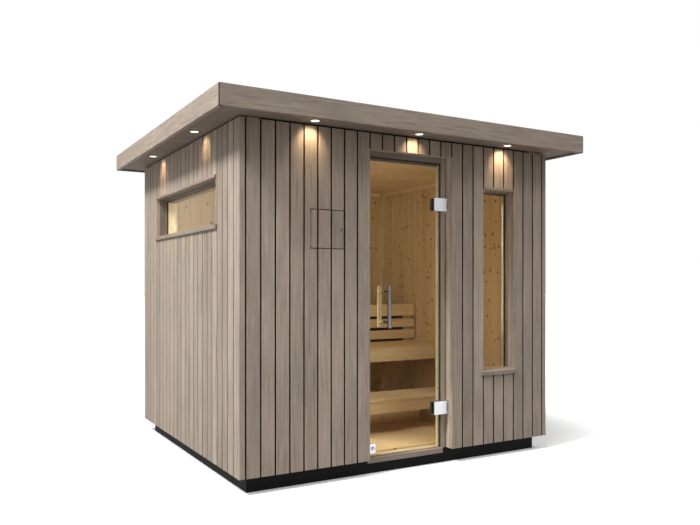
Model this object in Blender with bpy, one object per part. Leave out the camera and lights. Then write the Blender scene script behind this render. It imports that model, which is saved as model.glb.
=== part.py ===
"""Outdoor sauna cabin with a flat roof, a glass door and two windows.

Units are metres and +Z is up. The origin is on the ground under the middle of the cabin,
and the front, with the door, faces -Y. Sizes and places below are measured from the left
front corner of the cladding at ground level: x to the right, y into the cabin, z up.
"""

import math

import bmesh
import bpy
from mathutils import Matrix, Vector

# Overall sizes of the cabin
CABIN_WIDTH = 2.420
CABIN_DEPTH = 2.174
BASE_HEIGHT = 0.100
WALL_HEIGHT = 2.100
WALL_THICKNESS = 0.150
CLADDING_THICKNESS = 0.022
CORNER_WIDTH = 0.040
CORNER_SIDE_WIDTH = 0.098
BOARDS_ACROSS = 25
CLADDING_TOP_GAP = 0.008

# Gap between pieces that touch
GAP = 0.0003

# Base, floor and ceiling
BASE_SETBACK = 0.070
FLOOR_RISE = 0.018
FLOOR_THICKNESS = 0.090
CEILING_THICKNESS = 0.090

# Flat roof
ROOF_OVERHANG = 0.190
FASCIA_THICKNESS = 0.026
FASCIA_HEIGHT = 0.125
FASCIA_DROP = 0.012
SOFFIT_THICKNESS = 0.018
ROOF_DECK_THICKNESS = 0.080
MEMBRANE_THICKNESS = 0.006

# Downlights let into the soffit
LAMP_OPENING = 0.052
LAMP_RIM = 0.068
LAMP_RIM_DROP = 0.003
LAMP_RECESS = 0.010
LAMP_OFFSET = 0.078
FRONT_LAMP_SPACING = 0.760
SIDE_LAMP_SPACING = 1.010

# Openings, placed on the joints between the boards of the front
DOOR_FIRST_BOARD = 9
DOOR_BOARDS = 7
DOOR_HEAD = 1.988
WINDOW_FIRST_BOARD = 19
WINDOW_BOARDS = 3
WINDOW_FOOT = 0.500
WINDOW_HEAD = 1.790
SIDE_WINDOW_INSET = 0.4025
SIDE_WINDOW_FOOT = 1.486

# Frames in the openings
FRAME_SETBACK = 0.064
FRAME_DEPTH = 0.040
WINDOW_LIP = 0.0115
WINDOW_BAR = 0.0215
WINDOW_GLASS_THICKNESS = 0.010
WINDOW_GLASS_SETBACK = 0.008
SILL_PROJECTION = 0.014
SILL_EXTENSION = 0.022
SILL_NOSE_DROP = 0.016
SILL_NOSE_TOP = 0.010
SILL_BACK_TOP = 0.023
LINTEL_HEIGHT = 0.018
FRONT_LINTEL_PROJECTION = 0.004
SIDE_LINTEL_PROJECTION = 0.012
SIDE_LINTEL_EXTENSION = 0.012

# Door frame
HINGE_JAMB_WIDTH = 0.046
LOCK_JAMB_WIDTH = 0.028
HEAD_BAR_HEIGHT = 0.042
STOP_OVERLAP = 0.008
THRESHOLD_SETBACK = 0.040
THRESHOLD_DROP = 0.028
THRESHOLD_RISE = 0.006

# Glass door
DOOR_CLEARANCE = 0.0062
DOOR_GLASS_THICKNESS = 0.008
DOOR_GLASS_SETBACK = 0.004
STOP_CLEARANCE = 0.0055

# Door hinges
HINGE_HEIGHT = 0.089
HINGE_WIDTH = 0.118
HINGE_PROUD = 0.029
HINGE_CORNER_RADIUS = 0.010
HINGE_HEIGHTS = (0.281, 1.667)
HINGE_BACK_PLATE = 0.005
BARREL_RADIUS = 0.0085
EAR_HEIGHT = 0.019
EAR_CLEARANCE = 0.0015
EAR_END_GAP = 0.0005
BRACKET_THICKNESS = 0.003
BRACKET_MARGIN = 0.002
PIN_RADIUS = 0.0030
PIN_CLEARANCE = 0.0003
HINGE_REVEAL_GAP = 0.005
BOLT_RADIUS = 0.009
FITTING_CLEARANCE = 0.006

# Door handle, a tube outside and a bar inside
HANDLE_EDGE_DISTANCE = 0.119
HANDLE_REACH = 0.060
HANDLE_LENGTH = 0.274
HANDLE_HEIGHT = 0.976
HANDLE_POST_SPACING = 0.200
HANDLE_POST_RADIUS = 0.007
HANDLE_ROSETTE_RADIUS = 0.011
HANDLE_ROSETTE_THICKNESS = 0.003
PULL_RADIUS = 0.0125
INNER_HANDLE_RADIUS = 0.0150

# Patch lock at the foot of the glass
LOCK_WIDTH = 0.045
LOCK_HEIGHT = 0.062
LOCK_FOOT = 0.017
LOCK_PLATE = 0.006
LOCK_CYLINDER_RADIUS = 0.0085
LOCK_CYLINDER_PROUD = 0.004
LOCK_BACK_RADIUS = 0.012
LOCK_BOLT_OFFSET = 0.004

# Service hatch
HATCH_LAST_BOARD = 7
HATCH_WIDTH = 0.2385
HATCH_HEIGHT = 0.243
HATCH_FOOT = 1.341
HATCH_GAP = 0.0055
HATCH_THICKNESS = 0.020
HATCH_POCKET_DEPTH = 0.075
HATCH_BARREL_RADIUS = 0.0022
HATCH_PIN_RADIUS = 0.0010
HATCH_PIN_CLEARANCE = 0.0003
HATCH_KNUCKLE_GAP = 0.0006
HATCH_LEAF_THICKNESS = 0.0012
HATCH_LEAF_DEPTH = 0.018
HATCH_LEAF_INSET = 0.012
HATCH_LOCK_RADIUS = 0.008
HATCH_LOCK_INSET = 0.017
HATCH_LOCK_PROUD = 0.0015

# Benches
BENCH_END_GAP = 0.0003
SLAT_THICKNESS = 0.022
SLAT_GAP = 0.012
BENCH_FRONT_HEIGHT = 0.104
BEARER_WIDTH = 0.045
BEARER_HEIGHT = 0.070
LEG_WIDTH = 0.045
LEG_CHEEK = 0.002
LEG_JOINT = 0.020
SLAT_SEAT = 0.001
SLAT_NOSE = 0.003
UPPER_BENCH_FRONT = 0.870
UPPER_BENCH_BACK = 1.4667
UPPER_BENCH_TOP = 0.615
UPPER_BENCH_SLATS = 5
LOWER_BENCH_FRONT = 0.547
LOWER_BENCH_BACK = 0.896
LOWER_BENCH_TOP = 0.275
LOWER_BENCH_SLATS = 3
BENCH_LEG_INSET = 0.370
BENCH_LEG_SETBACK = 0.050

# Backrest behind the upper bench
BACKREST_END_GAP = 0.020
BACKREST_FOOT = 0.022
BACKREST_SLAT = 0.0765
BACKREST_TOP_SLAT = 0.106
BACKREST_SLAT_GAP = 0.0245
BACKREST_POST_WIDTH = 0.085
BACKREST_POST_INSET = 0.018
BACKREST_PANEL_THICKNESS = 0.012
BACKREST_PANEL_MARGIN = 0.030

ROUND_SIDES = 32
SMALL_SIDES = 16

# Places worked out from the sizes above
BOARD_PITCH = (CABIN_WIDTH - 2 * CORNER_WIDTH) / BOARDS_ACROSS
DOOR_LEFT = CORNER_WIDTH + DOOR_FIRST_BOARD * BOARD_PITCH
DOOR_RIGHT = DOOR_LEFT + DOOR_BOARDS * BOARD_PITCH
WINDOW_LEFT = CORNER_WIDTH + WINDOW_FIRST_BOARD * BOARD_PITCH
WINDOW_RIGHT = WINDOW_LEFT + WINDOW_BOARDS * BOARD_PITCH
SIDE_WINDOW_START = SIDE_WINDOW_INSET
SIDE_WINDOW_END = CABIN_DEPTH - SIDE_WINDOW_INSET
HATCH_RIGHT = CORNER_WIDTH + HATCH_LAST_BOARD * BOARD_PITCH
HATCH_LEFT = HATCH_RIGHT - HATCH_WIDTH
CORE_FACE = CLADDING_THICKNESS + GAP
ROOM_RIGHT = CABIN_WIDTH - WALL_THICKNESS
ROOM_BACK = CABIN_DEPTH - WALL_THICKNESS
SOFFIT_UNDERSIDE = BASE_HEIGHT + WALL_HEIGHT
WALL_TOP = SOFFIT_UNDERSIDE - GAP
CLADDING_TOP = SOFFIT_UNDERSIDE - CLADDING_TOP_GAP
FLOOR_TOP = BASE_HEIGHT + FLOOR_RISE
FRAME_BACK = FRAME_SETBACK + FRAME_DEPTH
GLASS_FRONT = FRAME_SETBACK + DOOR_GLASS_SETBACK
GLASS_BACK = GLASS_FRONT + DOOR_GLASS_THICKNESS
GLASS_LEFT = DOOR_LEFT + LOCK_JAMB_WIDTH + DOOR_CLEARANCE
GLASS_RIGHT = DOOR_RIGHT - HINGE_JAMB_WIDTH - DOOR_CLEARANCE
GLASS_FOOT = BASE_HEIGHT + THRESHOLD_RISE + DOOR_CLEARANCE
GLASS_HEAD = BASE_HEIGHT + DOOR_HEAD - HEAD_BAR_HEIGHT - DOOR_CLEARANCE
STOP_FRONT = GLASS_BACK + STOP_CLEARANCE
HINGE_FRONT = FRAME_SETBACK - HINGE_PROUD
HINGE_AXIS_X = DOOR_RIGHT - HINGE_REVEAL_GAP - BARREL_RADIUS
HINGE_AXIS_Y = HINGE_FRONT + BARREL_RADIUS
HINGE_LEFT = HINGE_AXIS_X + BARREL_RADIUS - HINGE_WIDTH
HATCH_AXIS_X = HATCH_LEFT + HATCH_GAP / 2

PARTS = "outdoor_sauna_cabin"
CUTTERS = "cutters"

PAINTED_TAUPE = ((0.33, 0.28, 0.235), 0.75, 0.0)
PALE_SPRUCE = ((0.62, 0.44, 0.25), 0.60, 0.0)
PALE_ASPEN = ((0.72, 0.56, 0.36), 0.55, 0.0)
BLACK_STAIN = ((0.012, 0.012, 0.012), 0.80, 0.0)
ROOFING_FELT = ((0.06, 0.06, 0.065), 0.90, 0.0)
CLEAR_GLASS = ((0.90, 0.92, 0.90), 0.05, 0.0)
SATIN_STEEL = ((0.62, 0.62, 0.64), 0.30, 1.0)


def start_collections():
    """Clear the file's objects and make the collections for parts and cutters."""
    for item in list(bpy.data.objects):
        bpy.data.objects.remove(item, do_unlink=True)
    for name in (PARTS, CUTTERS):
        bpy.context.scene.collection.children.link(bpy.data.collections.new(name))


def place(x, y, z):
    """Turn a place measured from the cabin's left front corner into a world point."""
    return Vector((x - CABIN_WIDTH / 2, y - CABIN_DEPTH / 2, z))


def board_material(name, finish):
    """Make the object's own material from a colour, a roughness and a metallic value."""
    colour, roughness, metallic = finish
    material = bpy.data.materials.new(name)
    material.use_nodes = True
    shader = material.node_tree.nodes["Principled BSDF"]
    shader.inputs["Base Color"].default_value = (*colour, 1.0)
    shader.inputs["Roughness"].default_value = roughness
    shader.inputs["Metallic"].default_value = metallic
    return material


def add_piece(name, mesh, finish, world):
    """Put a finished mesh in the parts collection, or with the cutters where it has no finish."""
    piece = bpy.data.objects.new(name, mesh)
    piece.matrix_world = world
    if finish is None:
        bpy.data.collections[CUTTERS].objects.link(piece)
        piece.hide_render = True
        piece.display_type = "WIRE"
    else:
        bpy.data.collections[PARTS].objects.link(piece)
        mesh.materials.append(board_material(name, finish))
    return piece


def box(name, x, y, z, finish=None):
    """Make a straight block from its two limits on each axis."""
    form = bmesh.new()
    bmesh.ops.create_cube(form, size=1.0)
    size = Vector((x[1] - x[0], y[1] - y[0], z[1] - z[0]))
    bmesh.ops.scale(form, vec=size, verts=form.verts)
    mesh = bpy.data.meshes.new(name)
    form.to_mesh(mesh)
    form.free()
    middle = place((x[0] + x[1]) / 2, (y[0] + y[1]) / 2, (z[0] + z[1]) / 2)
    return add_piece(name, mesh, finish, Matrix.Translation(middle))


def rod(name, start, end, radius, sides=ROUND_SIDES, finish=None):
    """Make a round rod between two places."""
    first = place(*start)
    last = place(*end)
    form = bmesh.new()
    length = (last - first).length
    bmesh.ops.create_cone(form, cap_ends=True, segments=sides, radius1=radius, radius2=radius, depth=length)
    mesh = bpy.data.meshes.new(name)
    form.to_mesh(mesh)
    form.free()
    shade_round(mesh)
    turn = (last - first).to_track_quat("Z", "Y").to_matrix().to_4x4()
    return add_piece(name, mesh, finish, Matrix.Translation((first + last) / 2) @ turn)


def shade_round(mesh):
    """Shade a round mesh smooth and keep its edges sharp."""
    mesh.shade_smooth()
    mesh.set_sharp_from_angle(angle=math.radians(35))


def outline(name, points, depth, world, finish=None):
    """Fill a closed outline, give it a thickness and stand it where the matrix says."""
    curve = bpy.data.curves.new(name, "CURVE")
    curve.dimensions = "2D"
    curve.fill_mode = "BOTH"
    curve.extrude = depth / 2
    line = curve.splines.new("POLY")
    line.points.add(len(points) - 1)
    for point, (across, up) in zip(line.points, points):
        point.co = (across, up, 0.0, 1.0)
    line.use_cyclic_u = True
    drawn = bpy.data.objects.new(name, curve)
    bpy.context.scene.collection.objects.link(drawn)
    mesh = bpy.data.meshes.new_from_object(drawn.evaluated_get(bpy.context.evaluated_depsgraph_get()))
    bpy.data.objects.remove(drawn)
    form = bmesh.new()
    form.from_mesh(mesh)
    bmesh.ops.remove_doubles(form, verts=form.verts, dist=0.00001)
    bmesh.ops.recalc_face_normals(form, faces=form.faces)
    form.to_mesh(mesh)
    form.free()
    mesh.name = name
    return add_piece(name, mesh, finish, world)


def plan_piece(name, points, z, finish=None):
    """Raise an outline drawn in plan, as (x, y) places, from one height to another."""
    world = Matrix.Translation(place(0, 0, (z[0] + z[1]) / 2))
    return outline(name, points, z[1] - z[0], world, finish)


def section_along_x(name, points, x, finish=None):
    """Run an outline drawn as (y, z) places along the front."""
    turn = Matrix(((0, 0, 1, 0), (1, 0, 0, 0), (0, 1, 0, 0), (0, 0, 0, 1)))
    world = Matrix.Translation(place((x[0] + x[1]) / 2, 0, 0)) @ turn
    return outline(name, points, x[1] - x[0], world, finish)


def section_along_y(name, points, y, finish=None):
    """Run an outline drawn as (x, z) places along a side wall or through a piece."""
    turn = Matrix(((1, 0, 0, 0), (0, 0, -1, 0), (0, 1, 0, 0), (0, 0, 0, 1)))
    world = Matrix.Translation(place(0, (y[0] + y[1]) / 2, 0)) @ turn
    return outline(name, points, y[1] - y[0], world, finish)


def combine(target, tool, operation):
    """Cut a tool out of a piece or join it on."""
    modifier = target.modifiers.new(tool.name, "BOOLEAN")
    modifier.operation = operation
    modifier.solver = "EXACT"
    modifier.object = tool


def cut(target, *tools):
    """Cut each tool out of a piece."""
    for tool in tools:
        combine(target, tool, "DIFFERENCE")


def join(target, *tools):
    """Join each tool on to a piece."""
    for tool in tools:
        combine(target, tool, "UNION")


def above_base(height):
    """Give the height above ground of a height above the top of the base."""
    return BASE_HEIGHT + height


def make_base():
    """A ring of black beams, set back under the cladding, that carries walls and floor."""
    across = (BASE_SETBACK, CABIN_WIDTH - BASE_SETBACK)
    along = (BASE_SETBACK, CABIN_DEPTH - BASE_SETBACK)
    ring = box("base_frame", across, along, (0, BASE_HEIGHT), BLACK_STAIN)
    inside_x = (WALL_THICKNESS, ROOM_RIGHT)
    inside_y = (WALL_THICKNESS, ROOM_BACK)
    cut(ring, box("base_frame_inside", inside_x, inside_y, (-GAP, BASE_HEIGHT + GAP)))


def make_floor_and_ceiling():
    """An insulated floor between the base beams and a ceiling between the walls."""
    inside_x = (WALL_THICKNESS + GAP, ROOM_RIGHT - GAP)
    inside_y = (WALL_THICKNESS + GAP, ROOM_BACK - GAP)
    box("floor", inside_x, inside_y, (FLOOR_TOP - FLOOR_THICKNESS, FLOOR_TOP), PALE_SPRUCE)
    box("ceiling", inside_x, inside_y, (SOFFIT_UNDERSIDE - CEILING_THICKNESS, WALL_TOP), PALE_SPRUCE)


def make_side_walls():
    """The full-depth wall elements of the left, with its window hole, and of the right."""
    along = (CORE_FACE, CABIN_DEPTH - CORE_FACE)
    height = (BASE_HEIGHT + GAP, WALL_TOP)
    left = box("left_wall", (CORE_FACE, WALL_THICKNESS), along, height, PALE_SPRUCE)
    cut(left, side_window_hole("left_wall_hole"))
    box("right_wall", (ROOM_RIGHT, CABIN_WIDTH - CORE_FACE), along, height, PALE_SPRUCE)


def make_back_wall():
    """The wall element between the side walls at the back."""
    across = (WALL_THICKNESS + GAP, ROOM_RIGHT - GAP)
    height = (BASE_HEIGHT + GAP, WALL_TOP)
    box("back_wall", across, (ROOM_BACK, CABIN_DEPTH - CORE_FACE), height, PALE_SPRUCE)


def make_front_walls():
    """The front wall elements beside and over the door, with window hole and hatch pocket."""
    through = (CORE_FACE, WALL_THICKNESS)
    height = (BASE_HEIGHT + GAP, WALL_TOP)
    over_door = (DOOR_LEFT + GAP, DOOR_RIGHT - GAP)
    left = box("front_wall_left", (WALL_THICKNESS + GAP, DOOR_LEFT), through, height, PALE_SPRUCE)
    pocket_depth = (CLADDING_THICKNESS, HATCH_POCKET_DEPTH)
    cut(left, box("hatch_pocket", (HATCH_LEFT, HATCH_RIGHT), pocket_depth, hatch_heights()))
    box("front_wall_over_door", over_door, through, (above_base(DOOR_HEAD), WALL_TOP), PALE_SPRUCE)
    right = box("front_wall_right", (DOOR_RIGHT, ROOM_RIGHT - GAP), through, height, PALE_SPRUCE)
    cut(right, front_window_hole("front_wall_hole"))


def hatch_heights():
    """The foot and head of the hatch opening."""
    return above_base(HATCH_FOOT), above_base(HATCH_FOOT + HATCH_HEIGHT)


def front_window_hole(name):
    """A cutter for the tall window beside the door."""
    height = (above_base(WINDOW_FOOT), above_base(WINDOW_HEAD))
    return box(name, (WINDOW_LEFT, WINDOW_RIGHT), (-WALL_THICKNESS, 2 * WALL_THICKNESS), height)


def side_window_hole(name):
    """A cutter for the long high window in the left wall."""
    height = (above_base(SIDE_WINDOW_FOOT), above_base(WINDOW_HEAD))
    through = (-WALL_THICKNESS, 2 * WALL_THICKNESS)
    return box(name, through, (SIDE_WINDOW_START, SIDE_WINDOW_END), height)


def make_front_cladding():
    """The painted cladding of the front, beside and over the door."""
    through = (0, CLADDING_THICKNESS)
    height = (BASE_HEIGHT, CLADDING_TOP)
    over_door = (DOOR_LEFT + GAP, DOOR_RIGHT - GAP)
    left_edge = CORNER_WIDTH + GAP
    left = box("front_cladding_left", (left_edge, DOOR_LEFT), through, height, PAINTED_TAUPE)
    hatch_through = (-WALL_THICKNESS, WALL_THICKNESS)
    cut(left, box("hatch_hole", (HATCH_LEFT, HATCH_RIGHT), hatch_through, hatch_heights()))
    head = (above_base(DOOR_HEAD), CLADDING_TOP)
    box("front_cladding_over_door", over_door, through, head, PAINTED_TAUPE)
    right_edge = CABIN_WIDTH - CORNER_WIDTH - GAP
    right = box("front_cladding_right", (DOOR_RIGHT, right_edge), through, height, PAINTED_TAUPE)
    cut(right, front_window_hole("front_cladding_hole"))


def make_other_cladding():
    """The painted cladding of the sides and the back."""
    height = (BASE_HEIGHT, CLADDING_TOP)
    along = (CORNER_SIDE_WIDTH + GAP, CABIN_DEPTH - CORNER_SIDE_WIDTH - GAP)
    across = (CORNER_WIDTH + GAP, CABIN_WIDTH - CORNER_WIDTH - GAP)
    left = box("left_cladding", (0, CLADDING_THICKNESS), along, height, PAINTED_TAUPE)
    cut(left, side_window_hole("left_cladding_hole"))
    right_face = (CABIN_WIDTH - CLADDING_THICKNESS, CABIN_WIDTH)
    back_face = (CABIN_DEPTH - CLADDING_THICKNESS, CABIN_DEPTH)
    box("right_cladding", right_face, along, height, PAINTED_TAUPE)
    box("back_cladding", across, back_face, height, PAINTED_TAUPE)


def make_corner_trims():
    """An angle-shaped strip that covers the board ends at each corner."""
    for side, x, right in (("left", 0, 1), ("right", CABIN_WIDTH, -1)):
        for end, y, back in (("front", 0, 1), ("back", CABIN_DEPTH, -1)):
            steps = (
                (0, 0),
                (CORNER_WIDTH, 0),
                (CORNER_WIDTH, CLADDING_THICKNESS),
                (CLADDING_THICKNESS, CLADDING_THICKNESS),
                (CLADDING_THICKNESS, CORNER_SIDE_WIDTH),
                (0, CORNER_SIDE_WIDTH),
            )
            corner = [(x + right * across, y + back * along) for across, along in steps]
            plan_piece(f"corner_trim_{end}_{side}", corner, (BASE_HEIGHT, CLADDING_TOP), PAINTED_TAUPE)


def make_roof():
    """The soffit that lies on the walls, the roof deck on it and the membrane on top."""
    edge = ROOF_OVERHANG - FASCIA_THICKNESS - GAP
    across = (-edge, CABIN_WIDTH + edge)
    along = (-edge, CABIN_DEPTH + edge)
    soffit_top = SOFFIT_UNDERSIDE + SOFFIT_THICKNESS
    deck_top = soffit_top + GAP + ROOF_DECK_THICKNESS
    membrane_top = deck_top + GAP + MEMBRANE_THICKNESS
    soffit = box("soffit", across, along, (SOFFIT_UNDERSIDE, soffit_top), PAINTED_TAUPE)
    for number, (x, y) in enumerate(lamp_places(), 1):
        fit_lamp(soffit, number, x, y)
    box("roof_deck", across, along, (soffit_top + GAP, deck_top), PALE_SPRUCE)
    box("roof_membrane", across, along, (deck_top + GAP, membrane_top), ROOFING_FELT)


def lamp_places():
    """The middles of the downlights: three at the front and two at each side."""
    middle = CABIN_WIDTH / 2
    front = [(middle + step * FRONT_LAMP_SPACING, -LAMP_OFFSET) for step in (-1, 0, 1)]
    sides = []
    for x in (-LAMP_OFFSET, CABIN_WIDTH + LAMP_OFFSET):
        for step in (-0.5, 0.5):
            sides.append((x, CABIN_DEPTH / 2 + step * SIDE_LAMP_SPACING))
    return front + sides


def fit_lamp(soffit, number, x, y):
    """Give the soffit a round lamp rim and the recess inside it."""
    low = SOFFIT_UNDERSIDE - LAMP_RIM_DROP
    inside = SOFFIT_UNDERSIDE + SOFFIT_THICKNESS / 2
    recess = SOFFIT_UNDERSIDE + LAMP_RECESS
    rim = rod(f"lamp_rim_{number}", (x, y, low), (x, y, inside), LAMP_RIM / 2)
    join(soffit, rim)
    cut(soffit, rod(f"lamp_recess_{number}", (x, y, low - LAMP_RECESS), (x, y, recess), LAMP_OPENING / 2))


def make_fascia():
    """Four fascia boards, mitred at the corners."""
    low = SOFFIT_UNDERSIDE - FASCIA_DROP
    height = (low, low + FASCIA_HEIGHT)
    left = -ROOF_OVERHANG
    right = CABIN_WIDTH + ROOF_OVERHANG
    front = -ROOF_OVERHANG
    back = CABIN_DEPTH + ROOF_OVERHANG
    thick = FASCIA_THICKNESS
    cut_back = GAP / 2
    for name, y, inward in (("fascia_front", front, 1), ("fascia_back", back, -1)):
        inner = y + inward * thick
        points = [(left + cut_back, y), (right - cut_back, y)]
        points += [(right - thick - cut_back, inner), (left + thick + cut_back, inner)]
        plan_piece(name, points, height, PAINTED_TAUPE)
    for name, x, inward in (("fascia_left", left, 1), ("fascia_right", right, -1)):
        inner = x + inward * thick
        points = [(x, front + cut_back), (x, back - cut_back)]
        points += [(inner, back - thick - cut_back), (inner, front + thick + cut_back)]
        plan_piece(name, points, height, PAINTED_TAUPE)


def window_ring(name, along, through, height, box_of):
    """A rebated window frame: a thin lip in front and a wider bar behind the glass."""
    lip_back = FRAME_SETBACK + WINDOW_GLASS_SETBACK + WINDOW_GLASS_THICKNESS + GAP
    ends = (along[0] + GAP, along[1] - GAP)
    levels = (height[0] + GAP, height[1] - GAP)
    ring = box_of(name, ends, through, levels, PALE_SPRUCE)
    bar_ends = (ends[0] + WINDOW_BAR, ends[1] - WINDOW_BAR)
    bar_levels = (levels[0] + WINDOW_BAR, levels[1] - WINDOW_BAR)
    lip_ends = (ends[0] + WINDOW_LIP, ends[1] - WINDOW_LIP)
    lip_levels = (levels[0] + WINDOW_LIP, levels[1] - WINDOW_LIP)
    beyond = (through[0] - WALL_THICKNESS, through[1] + WALL_THICKNESS)
    cut(ring, box_of(f"{name}_light", bar_ends, beyond, bar_levels, None))
    cut(ring, box_of(f"{name}_rebate", lip_ends, (beyond[0], lip_back), lip_levels, None))


def window_pane(name, along, height, box_of):
    """The glass that sits in the rebate of its window frame."""
    inset = 2 * GAP + WINDOW_LIP
    front = FRAME_SETBACK + WINDOW_GLASS_SETBACK
    through = (front, front + WINDOW_GLASS_THICKNESS)
    ends = (along[0] + inset, along[1] - inset)
    box_of(name, ends, through, (height[0] + inset, height[1] - inset), CLEAR_GLASS)


def front_box(name, along, through, height, finish):
    """A block given along the front, into the wall and by height."""
    return box(name, along, through, height, finish)


def side_box(name, along, through, height, finish):
    """A block given along the left wall, into the wall and by height."""
    return box(name, through, along, height, finish)


def sill_section(foot):
    """The outline of a sloping sill with a nose that covers the edge of the cladding."""
    back = FRAME_SETBACK - GAP
    return (
        (-SILL_PROJECTION, foot - SILL_NOSE_DROP),
        (-GAP, foot - SILL_NOSE_DROP),
        (-GAP, foot + GAP),
        (back, foot + GAP),
        (back, foot + SILL_BACK_TOP),
        (-SILL_PROJECTION, foot + SILL_NOSE_TOP),
    )


def make_front_window():
    """The tall window beside the door: frame, glass and sill."""
    along = (WINDOW_LEFT, WINDOW_RIGHT)
    height = (above_base(WINDOW_FOOT), above_base(WINDOW_HEAD))
    window_ring("front_window_frame", along, (FRAME_SETBACK, FRAME_BACK), height, front_box)
    window_pane("front_window_glass", along, height, front_box)
    ends = (along[0] - SILL_EXTENSION, along[1] + SILL_EXTENSION)
    sill = section_along_x("front_window_sill", sill_section(height[0]), ends, PAINTED_TAUPE)
    for number, (inner, outer) in enumerate(((along[0] + GAP, -1), (along[1] - GAP, 1)), 1):
        limits = sorted((inner, inner + outer * 2 * SILL_EXTENSION))
        notch = box(f"front_sill_notch_{number}", limits, (-GAP, FRAME_BACK), sill_notch_heights(height[0]))
        cut(sill, notch)


def sill_notch_heights(foot):
    """Limits that reach past a sill below and above."""
    return foot - 2 * SILL_NOSE_DROP, foot + 2 * SILL_BACK_TOP


def make_side_window():
    """The long high window in the left wall: frame, glass and sill."""
    along = (SIDE_WINDOW_START, SIDE_WINDOW_END)
    height = (above_base(SIDE_WINDOW_FOOT), above_base(WINDOW_HEAD))
    window_ring("side_window_frame", along, (FRAME_SETBACK, WALL_THICKNESS), height, side_box)
    window_pane("side_window_glass", along, height, side_box)
    ends = (along[0] - SILL_EXTENSION, along[1] + SILL_EXTENSION)
    sill = section_along_y("side_window_sill", sill_section(height[0]), ends, PAINTED_TAUPE)
    for number, (inner, outer) in enumerate(((along[0] + GAP, -1), (along[1] - GAP, 1)), 1):
        limits = sorted((inner, inner + outer * 2 * SILL_EXTENSION))
        notch = box(f"side_sill_notch_{number}", (-GAP, FRAME_BACK), limits, sill_notch_heights(height[0]))
        cut(sill, notch)


def make_lintels():
    """The narrow strips on the cladding that close the boards over each window."""
    foot = above_base(WINDOW_HEAD)
    height = (foot, foot + LINTEL_HEIGHT)
    front_y = (-FRONT_LINTEL_PROJECTION, -GAP)
    box("front_window_lintel", (WINDOW_LEFT, WINDOW_RIGHT), front_y, height, PAINTED_TAUPE)
    side_x = (-SIDE_LINTEL_PROJECTION, -GAP)
    side_y = (SIDE_WINDOW_START - SIDE_LINTEL_EXTENSION, SIDE_WINDOW_END + SIDE_LINTEL_EXTENSION)
    box("side_window_lintel", side_x, side_y, height, PAINTED_TAUPE)


def jamb_outline(edge, inward, width):
    """The plan of a door jamb: a bar with a stop that the closed glass rests before."""
    bar = edge + inward * width
    stop = bar + inward * (DOOR_CLEARANCE + STOP_OVERLAP)
    return (
        (edge, FRAME_SETBACK),
        (bar, FRAME_SETBACK),
        (bar, STOP_FRONT),
        (stop, STOP_FRONT),
        (stop, FRAME_BACK),
        (edge, FRAME_BACK),
    )


def make_door_frame():
    """The two jambs and the head bar that the glass door closes against."""
    head_top = above_base(DOOR_HEAD) - GAP
    head_foot = head_top - HEAD_BAR_HEIGHT
    hinge_side = jamb_outline(DOOR_RIGHT - GAP, -1, HINGE_JAMB_WIDTH)
    lock_side = jamb_outline(DOOR_LEFT + GAP, 1, LOCK_JAMB_WIDTH)
    lock_foot = BASE_HEIGHT + THRESHOLD_RISE + GAP
    plan_piece("door_jamb_hinge_side", hinge_side, (BASE_HEIGHT + GAP, head_top), PAINTED_TAUPE)
    plan_piece("door_jamb_lock_side", lock_side, (lock_foot, head_top), PAINTED_TAUPE)
    stop_foot = head_foot - DOOR_CLEARANCE - STOP_OVERLAP
    section = (
        (FRAME_SETBACK, head_foot),
        (STOP_FRONT, head_foot),
        (STOP_FRONT, stop_foot),
        (FRAME_BACK, stop_foot),
        (FRAME_BACK, head_top),
        (FRAME_SETBACK, head_top),
    )
    stop_inset = DOOR_CLEARANCE + STOP_OVERLAP
    ends = (DOOR_LEFT + LOCK_JAMB_WIDTH + stop_inset, DOOR_RIGHT - HINGE_JAMB_WIDTH - stop_inset)
    head = section_along_x("door_head", section, (ends[0] + 2 * GAP, ends[1] - 2 * GAP), PAINTED_TAUPE)
    for side, edge, outward in (("left", ends[0] + 2 * GAP, -1), ("right", ends[1] - 2 * GAP, 1)):
        limits = sorted((edge - outward * GAP, edge + outward * stop_inset))
        between = (FRAME_SETBACK, STOP_FRONT - GAP)
        join(head, box(f"door_head_{side}_end", limits, between, (head_foot, head_top)))


def make_threshold():
    """The threshold: a plate under the door with a lip down the base, cut out for the hinge jamb."""
    top = BASE_HEIGHT + THRESHOLD_RISE
    low = BASE_HEIGHT - THRESHOLD_DROP
    section = (
        (THRESHOLD_SETBACK, low),
        (BASE_SETBACK - GAP, low),
        (BASE_SETBACK - GAP, BASE_HEIGHT + GAP),
        (WALL_THICKNESS, BASE_HEIGHT + GAP),
        (WALL_THICKNESS, top),
        (THRESHOLD_SETBACK, top),
    )
    plate = section_along_x("door_threshold", section, (DOOR_LEFT + GAP, DOOR_RIGHT - GAP), PAINTED_TAUPE)
    jamb = DOOR_RIGHT - HINGE_JAMB_WIDTH - 2 * GAP
    stop = jamb - DOOR_CLEARANCE - STOP_OVERLAP
    height = (low - GAP, top + GAP)
    cut(plate, box("threshold_jamb_space", (jamb, CABIN_WIDTH), (0, FRAME_BACK + GAP), height))
    cut(plate, box("threshold_stop_space", (stop, CABIN_WIDTH), (STOP_FRONT - GAP, FRAME_BACK + GAP), height))


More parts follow.
